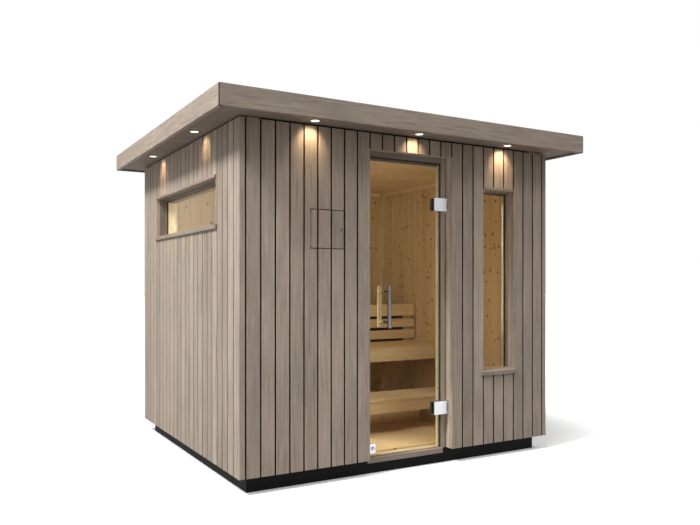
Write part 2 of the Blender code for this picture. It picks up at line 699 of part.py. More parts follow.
def make_door_glass():
    """The door's single sheet of glass, drilled for its hinges and its lock."""
    through = (GLASS_FRONT, GLASS_BACK)
    height = (GLASS_FOOT, GLASS_HEAD)
    glass = box("door_glass", (GLASS_LEFT, GLASS_RIGHT), through, height, CLEAR_GLASS)
    holes = [(hinge_bolt_x(), above_base(level)) for level in HINGE_HEIGHTS]
    holes.append(lock_bolt())
    for number, (x, z) in enumerate(holes, 1):
        start = (x, GLASS_FRONT - DOOR_GLASS_THICKNESS, z)
        end = (x, GLASS_BACK + DOOR_GLASS_THICKNESS, z)
        cut(glass, rod(f"door_glass_hole_{number}", start, end, BOLT_RADIUS + GAP))
    return glass


def hinge_bolt_x():
    """The middle of the hinge's clamp on the glass."""
    return (HINGE_LEFT + GLASS_RIGHT) / 2


def make_hinge_clamp(name, level):
    """The moving half of a door hinge, clamped on the glass from both sides."""
    low = above_base(level) - HINGE_HEIGHT / 2
    high = low + HINGE_HEIGHT
    middle = (low + high) / 2
    body = plan_piece(name, clamp_outline(), (low, high), SATIN_STEEL)
    start = (hinge_bolt_x(), HINGE_FRONT + BARREL_RADIUS, middle)
    end = (hinge_bolt_x(), GLASS_BACK + HINGE_BACK_PLATE / 2, middle)
    join(body, rod(f"{name}_bolt", start, end, BOLT_RADIUS))
    stop_edge = DOOR_RIGHT - HINGE_JAMB_WIDTH - DOOR_CLEARANCE - STOP_OVERLAP
    back_x = (HINGE_LEFT, stop_edge - FITTING_CLEARANCE)
    back_y = (GLASS_BACK + GAP, GLASS_BACK + HINGE_BACK_PLATE)
    join(body, box(f"{name}_back_plate", back_x, back_y, (low, high)))
    through = (0, WALL_THICKNESS)
    corners = section_along_y(f"{name}_corners", rounded_left_outline(low, high), through)
    combine(body, corners, "INTERSECT")
    for end, foot, top in (("foot", low - GAP, low + EAR_HEIGHT), ("top", high - EAR_HEIGHT, high + GAP)):
        space = ear_outline(BARREL_RADIUS + EAR_CLEARANCE, GLASS_BACK)
        cut(body, plan_piece(f"{name}_{end}_space", space, (foot, top)))
    bore = PIN_RADIUS + PIN_CLEARANCE
    cut(body, rod(f"{name}_bore", axis_point(low), axis_point(high), bore, SMALL_SIDES))


def clamp_outline():
    """The plan of the clamp's front half: thick over the glass, thin over the frame, then the barrel."""
    back = GLASS_FRONT - GAP
    step_x = GLASS_RIGHT - FITTING_CLEARANCE
    points = [(HINGE_LEFT, back), (HINGE_LEFT, HINGE_FRONT)]
    points += arc_points(BARREL_RADIUS, -90, 90)
    points += [(step_x, HINGE_FRONT + 2 * BARREL_RADIUS), (step_x, back)]
    return points


def ear_outline(radius, back):
    """The plan of a bracket's ear: round in front around the pin, straight behind."""
    points = arc_points(radius, -180, 0)
    return points + [(HINGE_AXIS_X + radius, back), (HINGE_AXIS_X - radius, back)]


def arc_points(radius, first, last, steps=12):
    """Places on an arc around the door's hinge axis, in plan."""
    points = []
    for step in range(steps + 1):
        angle = math.radians(first + (last - first) * step / steps)
        across = HINGE_AXIS_X + radius * math.cos(angle)
        points.append((across, HINGE_AXIS_Y + radius * math.sin(angle)))
    return points


def axis_point(z):
    """A place on the door's hinge axis."""
    return HINGE_AXIS_X, HINGE_AXIS_Y, z


def rounded_left_outline(low, high, steps=5):
    """A front outline that rounds a hinge cover's left corners and leaves its right end whole."""
    radius = HINGE_CORNER_RADIUS
    right = HINGE_AXIS_X + 2 * BARREL_RADIUS
    points = [(right, low), (right, high)]
    for centre_z, start in ((high - radius, 90), (low + radius, 180)):
        for step in range(steps + 1):
            angle = math.radians(start + 90 * step / steps)
            across = HINGE_LEFT + radius + radius * math.cos(angle)
            points.append((across, centre_z + radius * math.sin(angle)))
    return points


def make_hinge_bracket(name, level):
    """The fixed half of a door hinge: a plate on the jamb, two ears and the pin."""
    low = above_base(level) - HINGE_HEIGHT / 2
    high = low + HINGE_HEIGHT
    back = FRAME_SETBACK - GAP
    left = HINGE_AXIS_X - 2 * BARREL_RADIUS
    right = HINGE_AXIS_X + BARREL_RADIUS + BRACKET_MARGIN
    plate_z = (low + BRACKET_MARGIN, high - BRACKET_MARGIN)
    body = box(name, (left, right), (back - BRACKET_THICKNESS, back), plate_z, SATIN_STEEL)
    ear = EAR_HEIGHT - EAR_END_GAP
    shape = ear_outline(BARREL_RADIUS, back - BRACKET_THICKNESS / 2)
    join(body, plan_piece(f"{name}_foot_ear", shape, (low, low + ear)))
    join(body, plan_piece(f"{name}_top_ear", shape, (high - ear, high)))
    inset = ear / 2
    pin = rod(f"{name}_pin", axis_point(low + inset), axis_point(high - inset), PIN_RADIUS, SMALL_SIDES)
    join(body, pin)


def make_handle(name, side, radius, finish):
    """One side of the door handle: an upright grip on two posts with rosettes."""
    x = GLASS_LEFT + HANDLE_EDGE_DISTANCE
    face = GLASS_FRONT - GAP if side < 0 else GLASS_BACK + GAP
    grip_y = (GLASS_FRONT + GLASS_BACK) / 2 + side * HANDLE_REACH
    middle = above_base(HANDLE_HEIGHT)
    foot = (x, grip_y, middle - HANDLE_LENGTH / 2)
    top = (x, grip_y, middle + HANDLE_LENGTH / 2)
    grip = rod(name, foot, top, radius, ROUND_SIDES, finish)
    for number, step in enumerate((-0.5, 0.5), 1):
        z = middle + step * HANDLE_POST_SPACING
        post = rod(f"{name}_post_{number}", (x, grip_y, z), (x, face, z), HANDLE_POST_RADIUS, SMALL_SIDES)
        rosette_end = (x, face + side * HANDLE_ROSETTE_THICKNESS, z)
        rosette = rod(f"{name}_rosette_{number}", (x, face, z), rosette_end, HANDLE_ROSETTE_RADIUS)
        join(grip, post, rosette)


def lock_bolt():
    """The middle of the patch lock's bolt on the glass, as x and height."""
    across = GLASS_LEFT + LOCK_WIDTH / 2 + LOCK_BOLT_OFFSET
    return across, GLASS_FOOT + LOCK_FOOT + LOCK_HEIGHT / 2


def make_corner_lock():
    """The patch lock low on the glass: a plate with a key cylinder and a rosette behind."""
    x, z = lock_bolt()
    across = (GLASS_LEFT, GLASS_LEFT + LOCK_WIDTH)
    front = GLASS_FRONT - GAP - LOCK_PLATE
    height = (z - LOCK_HEIGHT / 2, z + LOCK_HEIGHT / 2)
    body = box("door_corner_lock", across, (front, GLASS_FRONT - GAP), height, SATIN_STEEL)
    key_face = (x, front - LOCK_CYLINDER_PROUD, z)
    key_root = (x, front + LOCK_PLATE / 2, z)
    bolt_end = (x, GLASS_BACK + LOCK_PLATE / 2, z)
    join(body, rod("lock_key_cylinder", key_face, key_root, LOCK_CYLINDER_RADIUS))
    join(body, rod("lock_bolt", key_root, bolt_end, BOLT_RADIUS))
    rosette = rod("lock_rosette", (x, GLASS_BACK + GAP, z), (x, GLASS_BACK + LOCK_PLATE, z), LOCK_BACK_RADIUS)
    join(body, rosette)


def make_door():
    """The glass door with everything that swings on it, and the fixed hinge halves."""
    axis = bpy.data.objects.new("door_axis", None)
    bpy.data.collections[CUTTERS].objects.link(axis)
    axis.location = place(*axis_point(0))
    make_door_glass()
    for name, level in zip(("lower", "upper"), HINGE_HEIGHTS):
        make_hinge_clamp(f"{name}_hinge_clamp", level)
        make_hinge_bracket(f"{name}_hinge_bracket", level)
    make_handle("door_pull", -1, PULL_RADIUS, SATIN_STEEL)
    make_handle("door_inner_handle", 1, INNER_HANDLE_RADIUS, PALE_ASPEN)
    make_corner_lock()
    swing = ("door_glass", "lower_hinge_clamp", "upper_hinge_clamp", "door_pull")
    hang_on(axis, swing + ("door_inner_handle", "door_corner_lock"))


def hang_on(axis, names):
    """Parent moving pieces to the empty on their joint's axis, where they are."""
    bpy.context.view_layer.update()
    for name in names:
        piece = bpy.data.objects[name]
        piece.parent = axis
        piece.matrix_parent_inverse = axis.matrix_world.inverted()


def hatch_knuckles():
    """The heights of the hatch hinge's three knuckles, from the lowest up."""
    foot, head = hatch_heights()
    low = foot + HATCH_GAP + HATCH_LEAF_INSET
    high = head - HATCH_GAP - HATCH_LEAF_INSET
    third = (high - low) / 3
    return [(low + n * third, low + (n + 1) * third) for n in range(3)]


def make_hatch_hinge():
    """The fixed leaf of the hatch hinge on the edge of the cladding, with knuckles and pin."""
    knuckles = hatch_knuckles()
    low = knuckles[0][0]
    high = knuckles[2][1]
    leaf_x = (HATCH_LEFT + GAP, HATCH_LEFT + GAP + HATCH_LEAF_THICKNESS)
    leaf_front = HATCH_BARREL_RADIUS + HATCH_KNUCKLE_GAP
    leaf = box("hatch_hinge", leaf_x, (leaf_front, HATCH_LEAF_DEPTH), (low, high), SATIN_STEEL)
    for number in (0, 2):
        foot, top = knuckles[number]
        start = (HATCH_AXIS_X, 0, foot)
        end = (HATCH_AXIS_X, 0, top)
        knuckle = rod(f"hatch_fixed_knuckle_{number}", start, end, HATCH_BARREL_RADIUS, SMALL_SIDES)
        web_x = (leaf_x[0], HATCH_AXIS_X)
        web_y = (-HATCH_LEAF_THICKNESS / 2, leaf_front + HATCH_LEAF_THICKNESS)
        join(leaf, knuckle, box(f"hatch_fixed_web_{number}", web_x, web_y, (foot, top)))
    pin_start = (HATCH_AXIS_X, 0, low + HATCH_LEAF_INSET)
    pin_end = (HATCH_AXIS_X, 0, high - HATCH_LEAF_INSET)
    join(leaf, rod("hatch_pin", pin_start, pin_end, HATCH_PIN_RADIUS, SMALL_SIDES))


def make_hatch():
    """The flush hatch door with its middle knuckle and its cam lock."""
    foot, head = hatch_heights()
    across = (HATCH_LEFT + HATCH_GAP, HATCH_RIGHT - HATCH_GAP)
    height = (foot + HATCH_GAP, head - HATCH_GAP)
    hatch = box("service_hatch", across, (0, HATCH_THICKNESS), height, PAINTED_TAUPE)
    low = hatch_knuckles()[1][0] + HATCH_KNUCKLE_GAP
    high = hatch_knuckles()[1][1] - HATCH_KNUCKLE_GAP
    start = (HATCH_AXIS_X, 0, low)
    end = (HATCH_AXIS_X, 0, high)
    web_x = (HATCH_AXIS_X, across[0] + HATCH_BARREL_RADIUS)
    web_y = (0, HATCH_LEAF_THICKNESS)
    join(hatch, rod("hatch_moving_knuckle", start, end, HATCH_BARREL_RADIUS, SMALL_SIDES))
    join(hatch, box("hatch_moving_web", web_x, web_y, (low, high)))
    bore = HATCH_PIN_RADIUS + HATCH_PIN_CLEARANCE
    cut(hatch, rod("hatch_bore", (HATCH_AXIS_X, 0, foot), (HATCH_AXIS_X, 0, head), bore, SMALL_SIDES))
    lock_x = across[1] - HATCH_LOCK_INSET
    lock_z = (foot + head) / 2
    lock_start = (lock_x, -HATCH_LOCK_PROUD, lock_z)
    lock_end = (lock_x, HATCH_THICKNESS / 2, lock_z)
    join(hatch, rod("hatch_lock", lock_start, lock_end, HATCH_LOCK_RADIUS))
    axis = bpy.data.objects.new("hatch_axis", None)
    bpy.data.collections[CUTTERS].objects.link(axis)
    axis.location = place(HATCH_AXIS_X, 0, 0)
    hang_on(axis, ("service_hatch",))


def make_bench(name, front, back, top, slats):
    """A bench of slats on three bearers with legs, and a board under the front slat."""
    ends = (WALL_THICKNESS + BENCH_END_GAP, ROOM_RIGHT - BENCH_END_GAP)
    high = above_base(top)
    low = high - SLAT_THICKNESS
    board_y = (front, front + SLAT_THICKNESS)
    bench = box(name, ends, board_y, (high - BENCH_FRONT_HEIGHT, low + SLAT_SEAT), PALE_ASPEN)
    inset = BENCH_LEG_INSET
    bearer_z = (low - BEARER_HEIGHT, low + SLAT_SEAT)
    for number, middle in enumerate((ends[0] + inset, (ends[0] + ends[1]) / 2, ends[1] - inset), 1):
        width = (middle - BEARER_WIDTH / 2, middle + BEARER_WIDTH / 2)
        bearer_y = (front + SLAT_THICKNESS - SLAT_SEAT, back - SLAT_SEAT)
        join(bench, box(f"{name}_bearer_{number}", width, bearer_y, bearer_z))
        leg_x = (width[0] - LEG_CHEEK, width[1] + LEG_CHEEK)
        leg_y = (back - BENCH_LEG_SETBACK - LEG_WIDTH, back - BENCH_LEG_SETBACK)
        leg_z = (FLOOR_TOP + GAP, low - BEARER_HEIGHT + LEG_JOINT)
        join(bench, box(f"{name}_leg_{number}", leg_x, leg_y, leg_z))
    first = front - SLAT_NOSE
    pitch = (back - first + SLAT_GAP) / slats
    for number in range(slats):
        start = first + number * pitch
        join(bench, box(f"{name}_slat_{number + 1}", ends, (start, start + pitch - SLAT_GAP), (low, high)))


def make_backrest():
    """Three slats on posts behind the upper bench, with a dark board behind them."""
    ends = (WALL_THICKNESS + BACKREST_END_GAP, ROOM_RIGHT - BACKREST_END_GAP)
    post_y = (UPPER_BENCH_BACK + GAP, UPPER_BENCH_BACK + GAP + SLAT_THICKNESS)
    slat_y = (post_y[0] - SLAT_THICKNESS, post_y[0] + SLAT_SEAT)
    levels = []
    level = above_base(UPPER_BENCH_TOP) + BACKREST_FOOT
    for height in (BACKREST_SLAT, BACKREST_SLAT, BACKREST_TOP_SLAT):
        levels.append((level, level + height))
        level += height + BACKREST_SLAT_GAP
    top = levels[-1][1]
    panel_y = (post_y[1] - SLAT_SEAT, post_y[1] + BACKREST_PANEL_THICKNESS)
    panel_z = (above_base(UPPER_BENCH_TOP) - BACKREST_PANEL_MARGIN, top - BACKREST_PANEL_MARGIN)
    backrest = box("backrest", ends, panel_y, panel_z, PALE_ASPEN)
    half = BACKREST_POST_WIDTH / 2
    inset = BACKREST_POST_INSET + half
    for number, middle in enumerate((ends[0] + inset, (ends[0] + ends[1]) / 2, ends[1] - inset), 1):
        width = (middle - half, middle + half)
        join(backrest, box(f"backrest_post_{number}", width, post_y, (FLOOR_TOP + GAP, top)))
    for number, height in enumerate(levels, 1):
        join(backrest, box(f"backrest_slat_{number}", ends, slat_y, height))


def make_benches():
    """The lower and the upper bench and the backrest."""
    make_bench("lower_bench", LOWER_BENCH_FRONT, LOWER_BENCH_BACK, LOWER_BENCH_TOP, LOWER_BENCH_SLATS)
    make_bench("upper_bench", UPPER_BENCH_FRONT, UPPER_BENCH_BACK, UPPER_BENCH_TOP, UPPER_BENCH_SLATS)
    make_backrest()


start_collections()
make_base()
make_floor_and_ceiling()
make_side_walls()
make_back_wall()
make_front_walls()
make_front_cladding()
make_other_cladding()
make_corner_trims()
make_roof()
make_fascia()
make_front_window()
make_side_window()
make_lintels()
make_door_frame()
make_threshold()
make_door()
make_hatch_hinge()
make_hatch()
make_benches()
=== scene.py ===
import math
import random

import bmesh
import bpy
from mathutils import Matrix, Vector


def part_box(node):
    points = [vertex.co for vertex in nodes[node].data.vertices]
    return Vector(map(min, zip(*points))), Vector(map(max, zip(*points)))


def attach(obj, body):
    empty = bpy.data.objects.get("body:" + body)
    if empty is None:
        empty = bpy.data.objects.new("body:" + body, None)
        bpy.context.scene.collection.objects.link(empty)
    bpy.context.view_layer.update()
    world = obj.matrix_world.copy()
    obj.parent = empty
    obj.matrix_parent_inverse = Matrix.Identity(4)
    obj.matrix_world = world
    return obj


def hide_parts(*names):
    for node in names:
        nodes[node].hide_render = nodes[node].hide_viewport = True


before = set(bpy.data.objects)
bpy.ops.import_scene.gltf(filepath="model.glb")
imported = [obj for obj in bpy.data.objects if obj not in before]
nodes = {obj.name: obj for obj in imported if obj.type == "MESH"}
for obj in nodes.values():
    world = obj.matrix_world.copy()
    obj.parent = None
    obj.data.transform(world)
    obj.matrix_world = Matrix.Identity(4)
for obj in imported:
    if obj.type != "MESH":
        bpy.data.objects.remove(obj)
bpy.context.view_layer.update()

# The view: a level camera at chest height off the cabin's left front corner, turned thirty
# degrees to the right. Its lens is shifted, so that upright edges stay upright.
EYE = (-2.687, -4.9006, 1.229)
TURN = math.radians(30.1)
scene = bpy.context.scene
scene.view_settings.view_transform = "Standard"
camera = bpy.data.objects.new("front_left_view", bpy.data.cameras.new("front_left_view"))
scene.collection.objects.link(camera)
camera.location = EYE
camera.rotation_euler = (math.radians(90), 0, -TURN)
camera.data.sensor_width = 36
camera.data.lens = 36.25
camera.data.shift_y = 0.030
scene.camera = camera


# The studio: a pale floor under an even white surround. The floor keeps the cabin's soft
# shadow, and what the camera sees of it and of the surround is close to white.
class Wire:
    """An output in a material's node tree, on which sums can be written."""

    def __init__(self, tree, socket=None):
        self.tree = tree
        self.socket = socket

    def node(self, kind, settings=None, inputs=None, output=0):
        """Add a node, set it up, and give its sockets their values or wires."""
        made = self.tree.nodes.new("ShaderNode" + kind)
        for name, value in (settings or {}).items():
            setattr(made, name, value)
        for name, value in (inputs or {}).items():
            if isinstance(value, Wire):
                self.tree.links.new(value.socket, made.inputs[name])
            else:
                made.inputs[name].default_value = value
        return Wire(self.tree, made.outputs[output])

    def sum(self, operation, *values):
        """One Math node on numbers."""
        return self.node("Math", {"operation": operation}, dict(enumerate(values)))

    def __add__(self, other):
        return self.sum("ADD", self, other)

    def __sub__(self, other):
        return self.sum("SUBTRACT", self, other)

    def __rsub__(self, other):
        return self.sum("SUBTRACT", other, self)

    def __mul__(self, other):
        return self.sum("MULTIPLY", self, other)

    def __pow__(self, other):
        return self.sum("POWER", self, other)

    def __abs__(self):
        return self.sum("ABSOLUTE", self)

    __radd__ = __add__
    __rmul__ = __mul__

    def larger(self, other):
        """The larger of two numbers."""
        return self.sum("MAXIMUM", self, other)

    def rise(self, low, high):
        """0 below low and 1 above high, eased between them."""
        eased = {"interpolation_type": "SMOOTHSTEP"}
        return self.node("MapRange", eased, {0: self, 1: low, 2: high})

    def tint(self, first, second):
        """A colour between two, by this share."""
        return self.node("Mix", {"data_type": "RGBA"}, {0: self, 6: first, 7: second}, 2)

    def shade(self, colour):
        """A colour made lighter or darker by this number."""
        return self.node("VectorMath", {"operation": "SCALE"}, {0: colour, 3: self})

    def axis(self, name):
        """One part of a place or a direction."""
        return self.node("SeparateXYZ", None, {0: self}, "XYZ".index(name))


def seen_directly(tree):
    """1 for what the camera sees itself or in gloss or glass, 0 for light on the object."""
    path = [Wire(tree).node("LightPath", output=name) for name in
            ("Is Camera Ray", "Is Glossy Ray", "Is Transmission Ray")]
    return path[0].larger(path[1]).larger(path[2])


SURROUND_LIGHT = 0.38
surround = bpy.data.worlds.new("white_surround")
surround.use_nodes = True
scene.world = surround
backing = surround.node_tree.nodes["Background"]
backing.inputs["Color"].default_value = (1.0, 1.0, 1.0, 1.0)
glow = SURROUND_LIGHT + (1 - SURROUND_LIGHT) * seen_directly(surround.node_tree)
surround.node_tree.links.new(glow.socket, backing.inputs["Strength"])

STUDIO_REACH = 60
SHADOW_ENDS = (1.7, 3.1)
NEAR_GLOW = 0.17
studio_form = bmesh.new()
bmesh.ops.create_grid(studio_form, x_segments=1, y_segments=1, size=STUDIO_REACH)
studio_mesh = bpy.data.meshes.new("studio_floor")
studio_form.to_mesh(studio_mesh)
studio_form.free()
studio_floor = bpy.data.objects.new("studio_floor", studio_mesh)
studio_floor.location.z = -0.001
scene.collection.objects.link(studio_floor)
studio_finish = bpy.data.materials.new("studio_floor")
studio_finish.use_nodes = True
studio_tree = studio_finish.node_tree
studio_tree.nodes.remove(studio_tree.nodes["Principled BSDF"])
wire = Wire(studio_tree)
from_middle = wire.node("TexCoord", output="Object")
far = wire.node("VectorMath", {"operation": "LENGTH"}, {0: from_middle}, "Value")
far = far.rise(*SHADOW_ENDS)
glow = (NEAR_GLOW + (1 - NEAR_GLOW) * far).shade((1.0, 1.0, 1.0))
lit = wire.node("Emission", None, {"Color": glow})
paint = wire.node("BsdfDiffuse", None, {"Color": (0.97, 0.97, 0.97, 1)})
shown = wire.node("AddShader", None, {0: lit, 1: paint})
bounce = wire.node("BsdfDiffuse", None, {"Color": (0.16, 0.155, 0.15, 1)})
both = wire.node("MixShader", None, {0: seen_directly(studio_tree), 1: bounce, 2: shown})
studio_tree.links.new(both.socket, studio_tree.nodes["Material Output"].inputs["Surface"])
studio_mesh.materials.append(studio_finish)


# The lamps of the studio: a large soft one high on the left, which throws the roof's shadow
# on the window side, wide ones high in front and above, and a weak low one at the left.
def hang(light, place, direction):
    """Put a lamp in its place, where the camera doesn't see it."""
    holder = bpy.data.objects.new(light.name, light)
    holder.location = place
    holder.rotation_euler = direction.to_track_quat("-Z", "Y").to_euler()
    holder.visible_camera = False
    scene.collection.objects.link(holder)
    return holder


def lamp(name, place, aim, power, width, height=None, colour=(1.0, 1.0, 1.0)):
    """A soft lamp, square unless it has a height."""
    light = bpy.data.lights.new(name, "AREA")
    light.shape = "RECTANGLE"
    light.size = width
    light.size_y = height or width
    light.energy = power
    light.color = colour
    return hang(light, place, Vector(aim) - Vector(place))


lamp("left_softbox", (-6.8, -2.2, 8.6), (-1.2, 0.0, 1.2), power=1060, width=1.6)
lamp("front_softbox", (2.8, -6.2, 9.2), (0.4, -1.1, 1.0), power=250, width=2.6)
lamp("top_softbox", (-1.3, -2.1, 7.6), (0.2, -0.2, 0.0), power=220, width=2.4)
lamp("edge_softbox", (-7.4, -3.2, 1.6), (0.0, -1.1, 1.2), power=27, width=0.9)

# The lamps in the room: a wide one behind the front wall, and four small ones for the
# threshold, the inner reveals of both windows and the rear corner. No pane mirrors them.
WARM = (1.0, 0.985, 0.93)
ROOM_LAMPS = (
    # name, place, aim, power, width, height, spread
    ("room_lamp", (-0.70, -0.86, 1.08), (0.3, 0.5, 0.98), 11.8, 0.6, 0.6, 180),
    ("threshold_lamp", (-0.62, -0.82, 0.85), (0.05, -0.92, 0.10), 0.55, 0.2, 0.2, 52),
    ("side_reveal_lamp", (-1.094, -0.20, 1.70), (-1.094, 0.68, 1.70), 0.062, 0.064, 0.18, 3.5),
    ("rear_corner_lamp", (-0.86, -0.30, 1.86), (-0.80, 0.93, 1.74), 0.85, 0.3, 0.3, 80),
    ("tall_reveal_lamp", (0.66, -0.990, 1.22), (0.88, -0.990, 1.20), 0.046, 0.03, 1.2, 14),
)
for name, place, aim, power, width, height, spread in ROOM_LAMPS:
    room_light = lamp(name, place, aim, power, width, height, WARM)
    room_light.data.spread = math.radians(spread)
    room_light.visible_glossy = False


# Base: a ring of beams under the walls, planed softwood stained black, with its corners
# screwed from inside. It is set back, so the cladding drips clear of it.
def new_finish(name):
    """A material and a wire to write its nodes with."""
    made = bpy.data.materials.new(name)
    made.use_nodes = True
    return made, Wire(made.node_tree)


def close_finish(made, wire, colour, roughness, height=None, depth=0.001, metallic=0.0):
    """Wire the colour, roughness and relief of a material to its shader."""
    shader = made.node_tree.nodes["Principled BSDF"]
    values = {"Base Color": colour, "Roughness": roughness, "Metallic": metallic}
    if height is not None:
        values["Normal"] = wire.node("Bump", None, {"Height": height, "Distance": depth})
    for name, value in values.items():
        if isinstance(value, Wire):
            made.node_tree.links.new(value.socket, shader.inputs[name])
        else:
            shader.inputs[name].default_value = value
    return made


def matt(made, level):
    """Set how strongly a finish mirrors its surroundings."""
    made.node_tree.nodes["Principled BSDF"].inputs["Specular IOR Level"].default_value = level
    return made


def along_grain(wire, grain, stretch, shift=None):
    """Places on the piece, drawn out along its grain, and shifted from board to board."""
    place = wire.node("TexCoord", output="Object")
    if shift is not None:
        away = {0: shift * 31.7, 1: shift * 17.3, 2: shift * 53.1}
        away = wire.node("CombineXYZ", None, away)
        place = wire.node("VectorMath", {"operation": "ADD"}, {0: place, 1: away})
    scale = [1 / stretch if name == grain else 1.0 for name in "XYZ"]
    return wire.node("VectorMath", {"operation": "MULTIPLY"}, {0: place, 1: scale})


def noise(wire, place, scale, detail=3.0, roughness=0.55, distortion=0.0):
    """Soft random patches from 0 to 1."""
    sockets = {"Vector": place, "Scale": scale, "Detail": detail}
    sockets.update({"Roughness": roughness, "Distortion": distortion})
    return wire.node("TexNoise", None, sockets)


def black_stain():
    """Black stained beams with a faint open grain."""
    made, wire = new_finish("black_stain")
    grain = noise(wire, along_grain(wire, "X", 20), 160)
    worn = noise(wire, along_grain(wire, "X", 4), 7)
    colour = worn.rise(0.35, 0.75).tint((0.0045, 0.0045, 0.0048, 1), (0.0085, 0.0082, 0.0078, 1))
    return matt(close_finish(made, wire, colour, 0.62 + 0.2 * grain, grain, 0.0006), 0.15)


def dress(name, finish):
    """Give a node that keeps its shape its own finish."""
    piece = nodes[name]
    piece.data.materials.clear()
    piece.data.materials.append(finish)


dress("base_frame", black_stain())


# Floor: planed spruce boards laid from wall to wall on the joists, nailed through their
# tongues, so that only hairline joints show.
FLOOR_BOARD = 0.118
FLOOR_BOARD_THICKNESS = 0.024
FLOOR_CHAMFER = 0.0008
HALF_HAIRLINE = 0.0002
LAYER_GAP = 0.0003


def spruce_grain(wire, grain, light, knots, pale=0.0):
    """Clear-finished knotty spruce: rings along the grain, knots, and boards that differ."""
    board = wire.node("Attribute", {"attribute_name": "tone"}, output="Fac")
    fibre = noise(wire, along_grain(wire, grain, 26, board), 130, 2)
    ring = noise(wire, along_grain(wire, grain, 14, board), 62, 3, 0.5, 0.6)
    patch = noise(wire, along_grain(wire, grain, 2.5, board), 3.2, 2)
    late = ring.rise(0.50, 0.68)
    colour = (late * 0.45 + fibre * 0.25).tint((0.80, 0.605, 0.335, 1), (0.65, 0.430, 0.195, 1))
    colour = patch.rise(0.35, 0.7).tint(colour, (0.72, 0.50, 0.245, 1))
    if pale:
        lye = {0: pale, 6: colour, 7: (0.93, 0.81, 0.55, 1)}
        colour = wire.node("Mix", {"data_type": "RGBA"}, lye, 2)
    cell = {"Vector": along_grain(wire, grain, 1.2, board), "Scale": 18.5}
    near = wire.node("TexVoronoi", {"distance": "EUCLIDEAN"}, cell)
    near = near + ((fibre - 0.5) * 0.03 - (patch - 0.5) * 0.16)
    heart = 1 - near.rise(0.115, 0.165)
    halo = 1 - near.rise(0.14, 0.30)
    colour = (halo * (0.45 * knots)).tint(colour, (0.55, 0.31, 0.115, 1))
    colour = (heart * (0.92 * knots)).tint(colour, (0.080, 0.034, 0.012, 1))
    colour = ((0.93 + 0.14 * board) * light).shade(colour)
    return colour, 0.48 - 0.12 * late + 0.1 * fibre, fibre * 0.5 + late * 0.3 + heart * 0.6


def spruce(name, grain, light=1.0, knots=1.0, pale=0.0):
    """A piece of spruce with its grain along one axis."""
    made, wire = new_finish(name)
    return close_finish(made, wire, *spruce_grain(wire, grain, light, knots, pale), 0.0005)


def new_piece(name, form, finishes, slot, body, *replaced):
    """Turn a finished form into a piece that rides its body and stands for its nodes."""
    bmesh.ops.recalc_face_normals(form, faces=form.faces)
    mesh = bpy.data.meshes.new(name)
    form.to_mesh(mesh)
    form.free()
    for finish in finishes:
        mesh.materials.append(finish)
    piece = bpy.data.objects.new(name, mesh)
    scene.collection.objects.link(piece)
    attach(piece, body)
    if replaced:
        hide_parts(*replaced)
    return piece


def new_form():
    """An empty form whose faces carry the tone of their board."""
    form = bmesh.new()
    form.faces.layers.float.new("tone")
    return form


def prism(form, lower, upper, tone, finish_of=None, end_finish=0):
    """A closed prism between two like outlines, with one tone for the whole board."""
    foot = [form.verts.new(point) for point in lower]
    head = [form.verts.new(point) for point in upper]
    faces = [form.faces.new(foot[::-1]), form.faces.new(head)]
    for face in faces:
        face.material_index = end_finish
    for n in range(len(foot)):
        m = (n + 1) % len(foot)
        side = form.faces.new((foot[n], foot[m], head[m], head[n]))
        side.material_index = finish_of(n) if finish_of else 0
        faces.append(side)
    layer_of_tone = form.faces.layers.float["tone"]
    for face in faces:
        face[layer_of_tone] = tone


def block(form, low, high, tone):
    """A plain sawn block between two corners."""
    plan = [(low[0], low[1]), (high[0], low[1]), (high[0], high[1]), (low[0], high[1])]
    prism(form, [(x, y, low[2]) for x, y in plan], [(x, y, high[2]) for x, y in plan], tone)


def flat_board(form, low, high, chamfer, tone, up):
    """A board that runs along X, with its long edges eased on the room side."""
    flush, back = (high[2], low[2]) if up else (low[2], high[2])
    inset = -chamfer if up else chamfer
    outline = [(low[1], back), (high[1], back), (high[1], flush + inset)]
    outline += [(high[1] - chamfer, flush), (low[1] + chamfer, flush), (low[1], flush + inset)]
    ends = [[(x, y, z) for y, z in outline] for x in (low[0], high[0])]
    prism(form, *ends, tone)


def lay_flat(form, low, high, pitch, thickness, chamfer, seed, up):
    """Lay boards side by side over a rectangle, as a floor or a ceiling."""
    dice = random.Random(seed)
    count = round((high[1] - low[1]) / pitch)
    step = (high[1] - low[1]) / count
    deep = (high[2] - thickness, high[2]) if up else (low[2], low[2] + thickness)
    for n in range(count):
        start = low[1] + n * step
        near = (low[0], start + HALF_HAIRLINE, deep[0])
        far = (high[0], start + step - HALF_HAIRLINE, deep[1])
        flat_board(form, near, far, chamfer, dice.random(), up)


floor_low, floor_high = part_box("floor")
joist_top = floor_high.z - FLOOR_BOARD_THICKNESS
form = new_form()
block(form, floor_low, (floor_high.x, floor_high.y, joist_top - LAYER_GAP), 0.4)
lay_flat(form, floor_low, floor_high, FLOOR_BOARD, FLOOR_BOARD_THICKNESS, FLOOR_CHAMFER,
         seed=3, up=True)
floor_spruce = spruce("floor_spruce", "X", light=1.12, knots=0.7)
new_piece("floor_boards", form, [floor_spruce], "spruce", "cabin", "floor")


# Walls: frames filled and closed on both faces. The room side is lined with upright
# tongued spruce boards, and the outer part of each opening is painted like the cladding.
WIDTH = 2.420
DEPTH = 2.174
WALL_THICKNESS = 0.150
WALL_FOOT = 0.1003
WALL_HEAD = 2.1997
CLADDING_THICKNESS = 0.022
PAINTED_DEPTH = 0.064
LINING_THICKNESS = 0.015
LINING_PITCH = 0.096
LINING_CHAMFER = 0.0028
LINING_HALF_JOINT = 0.00015


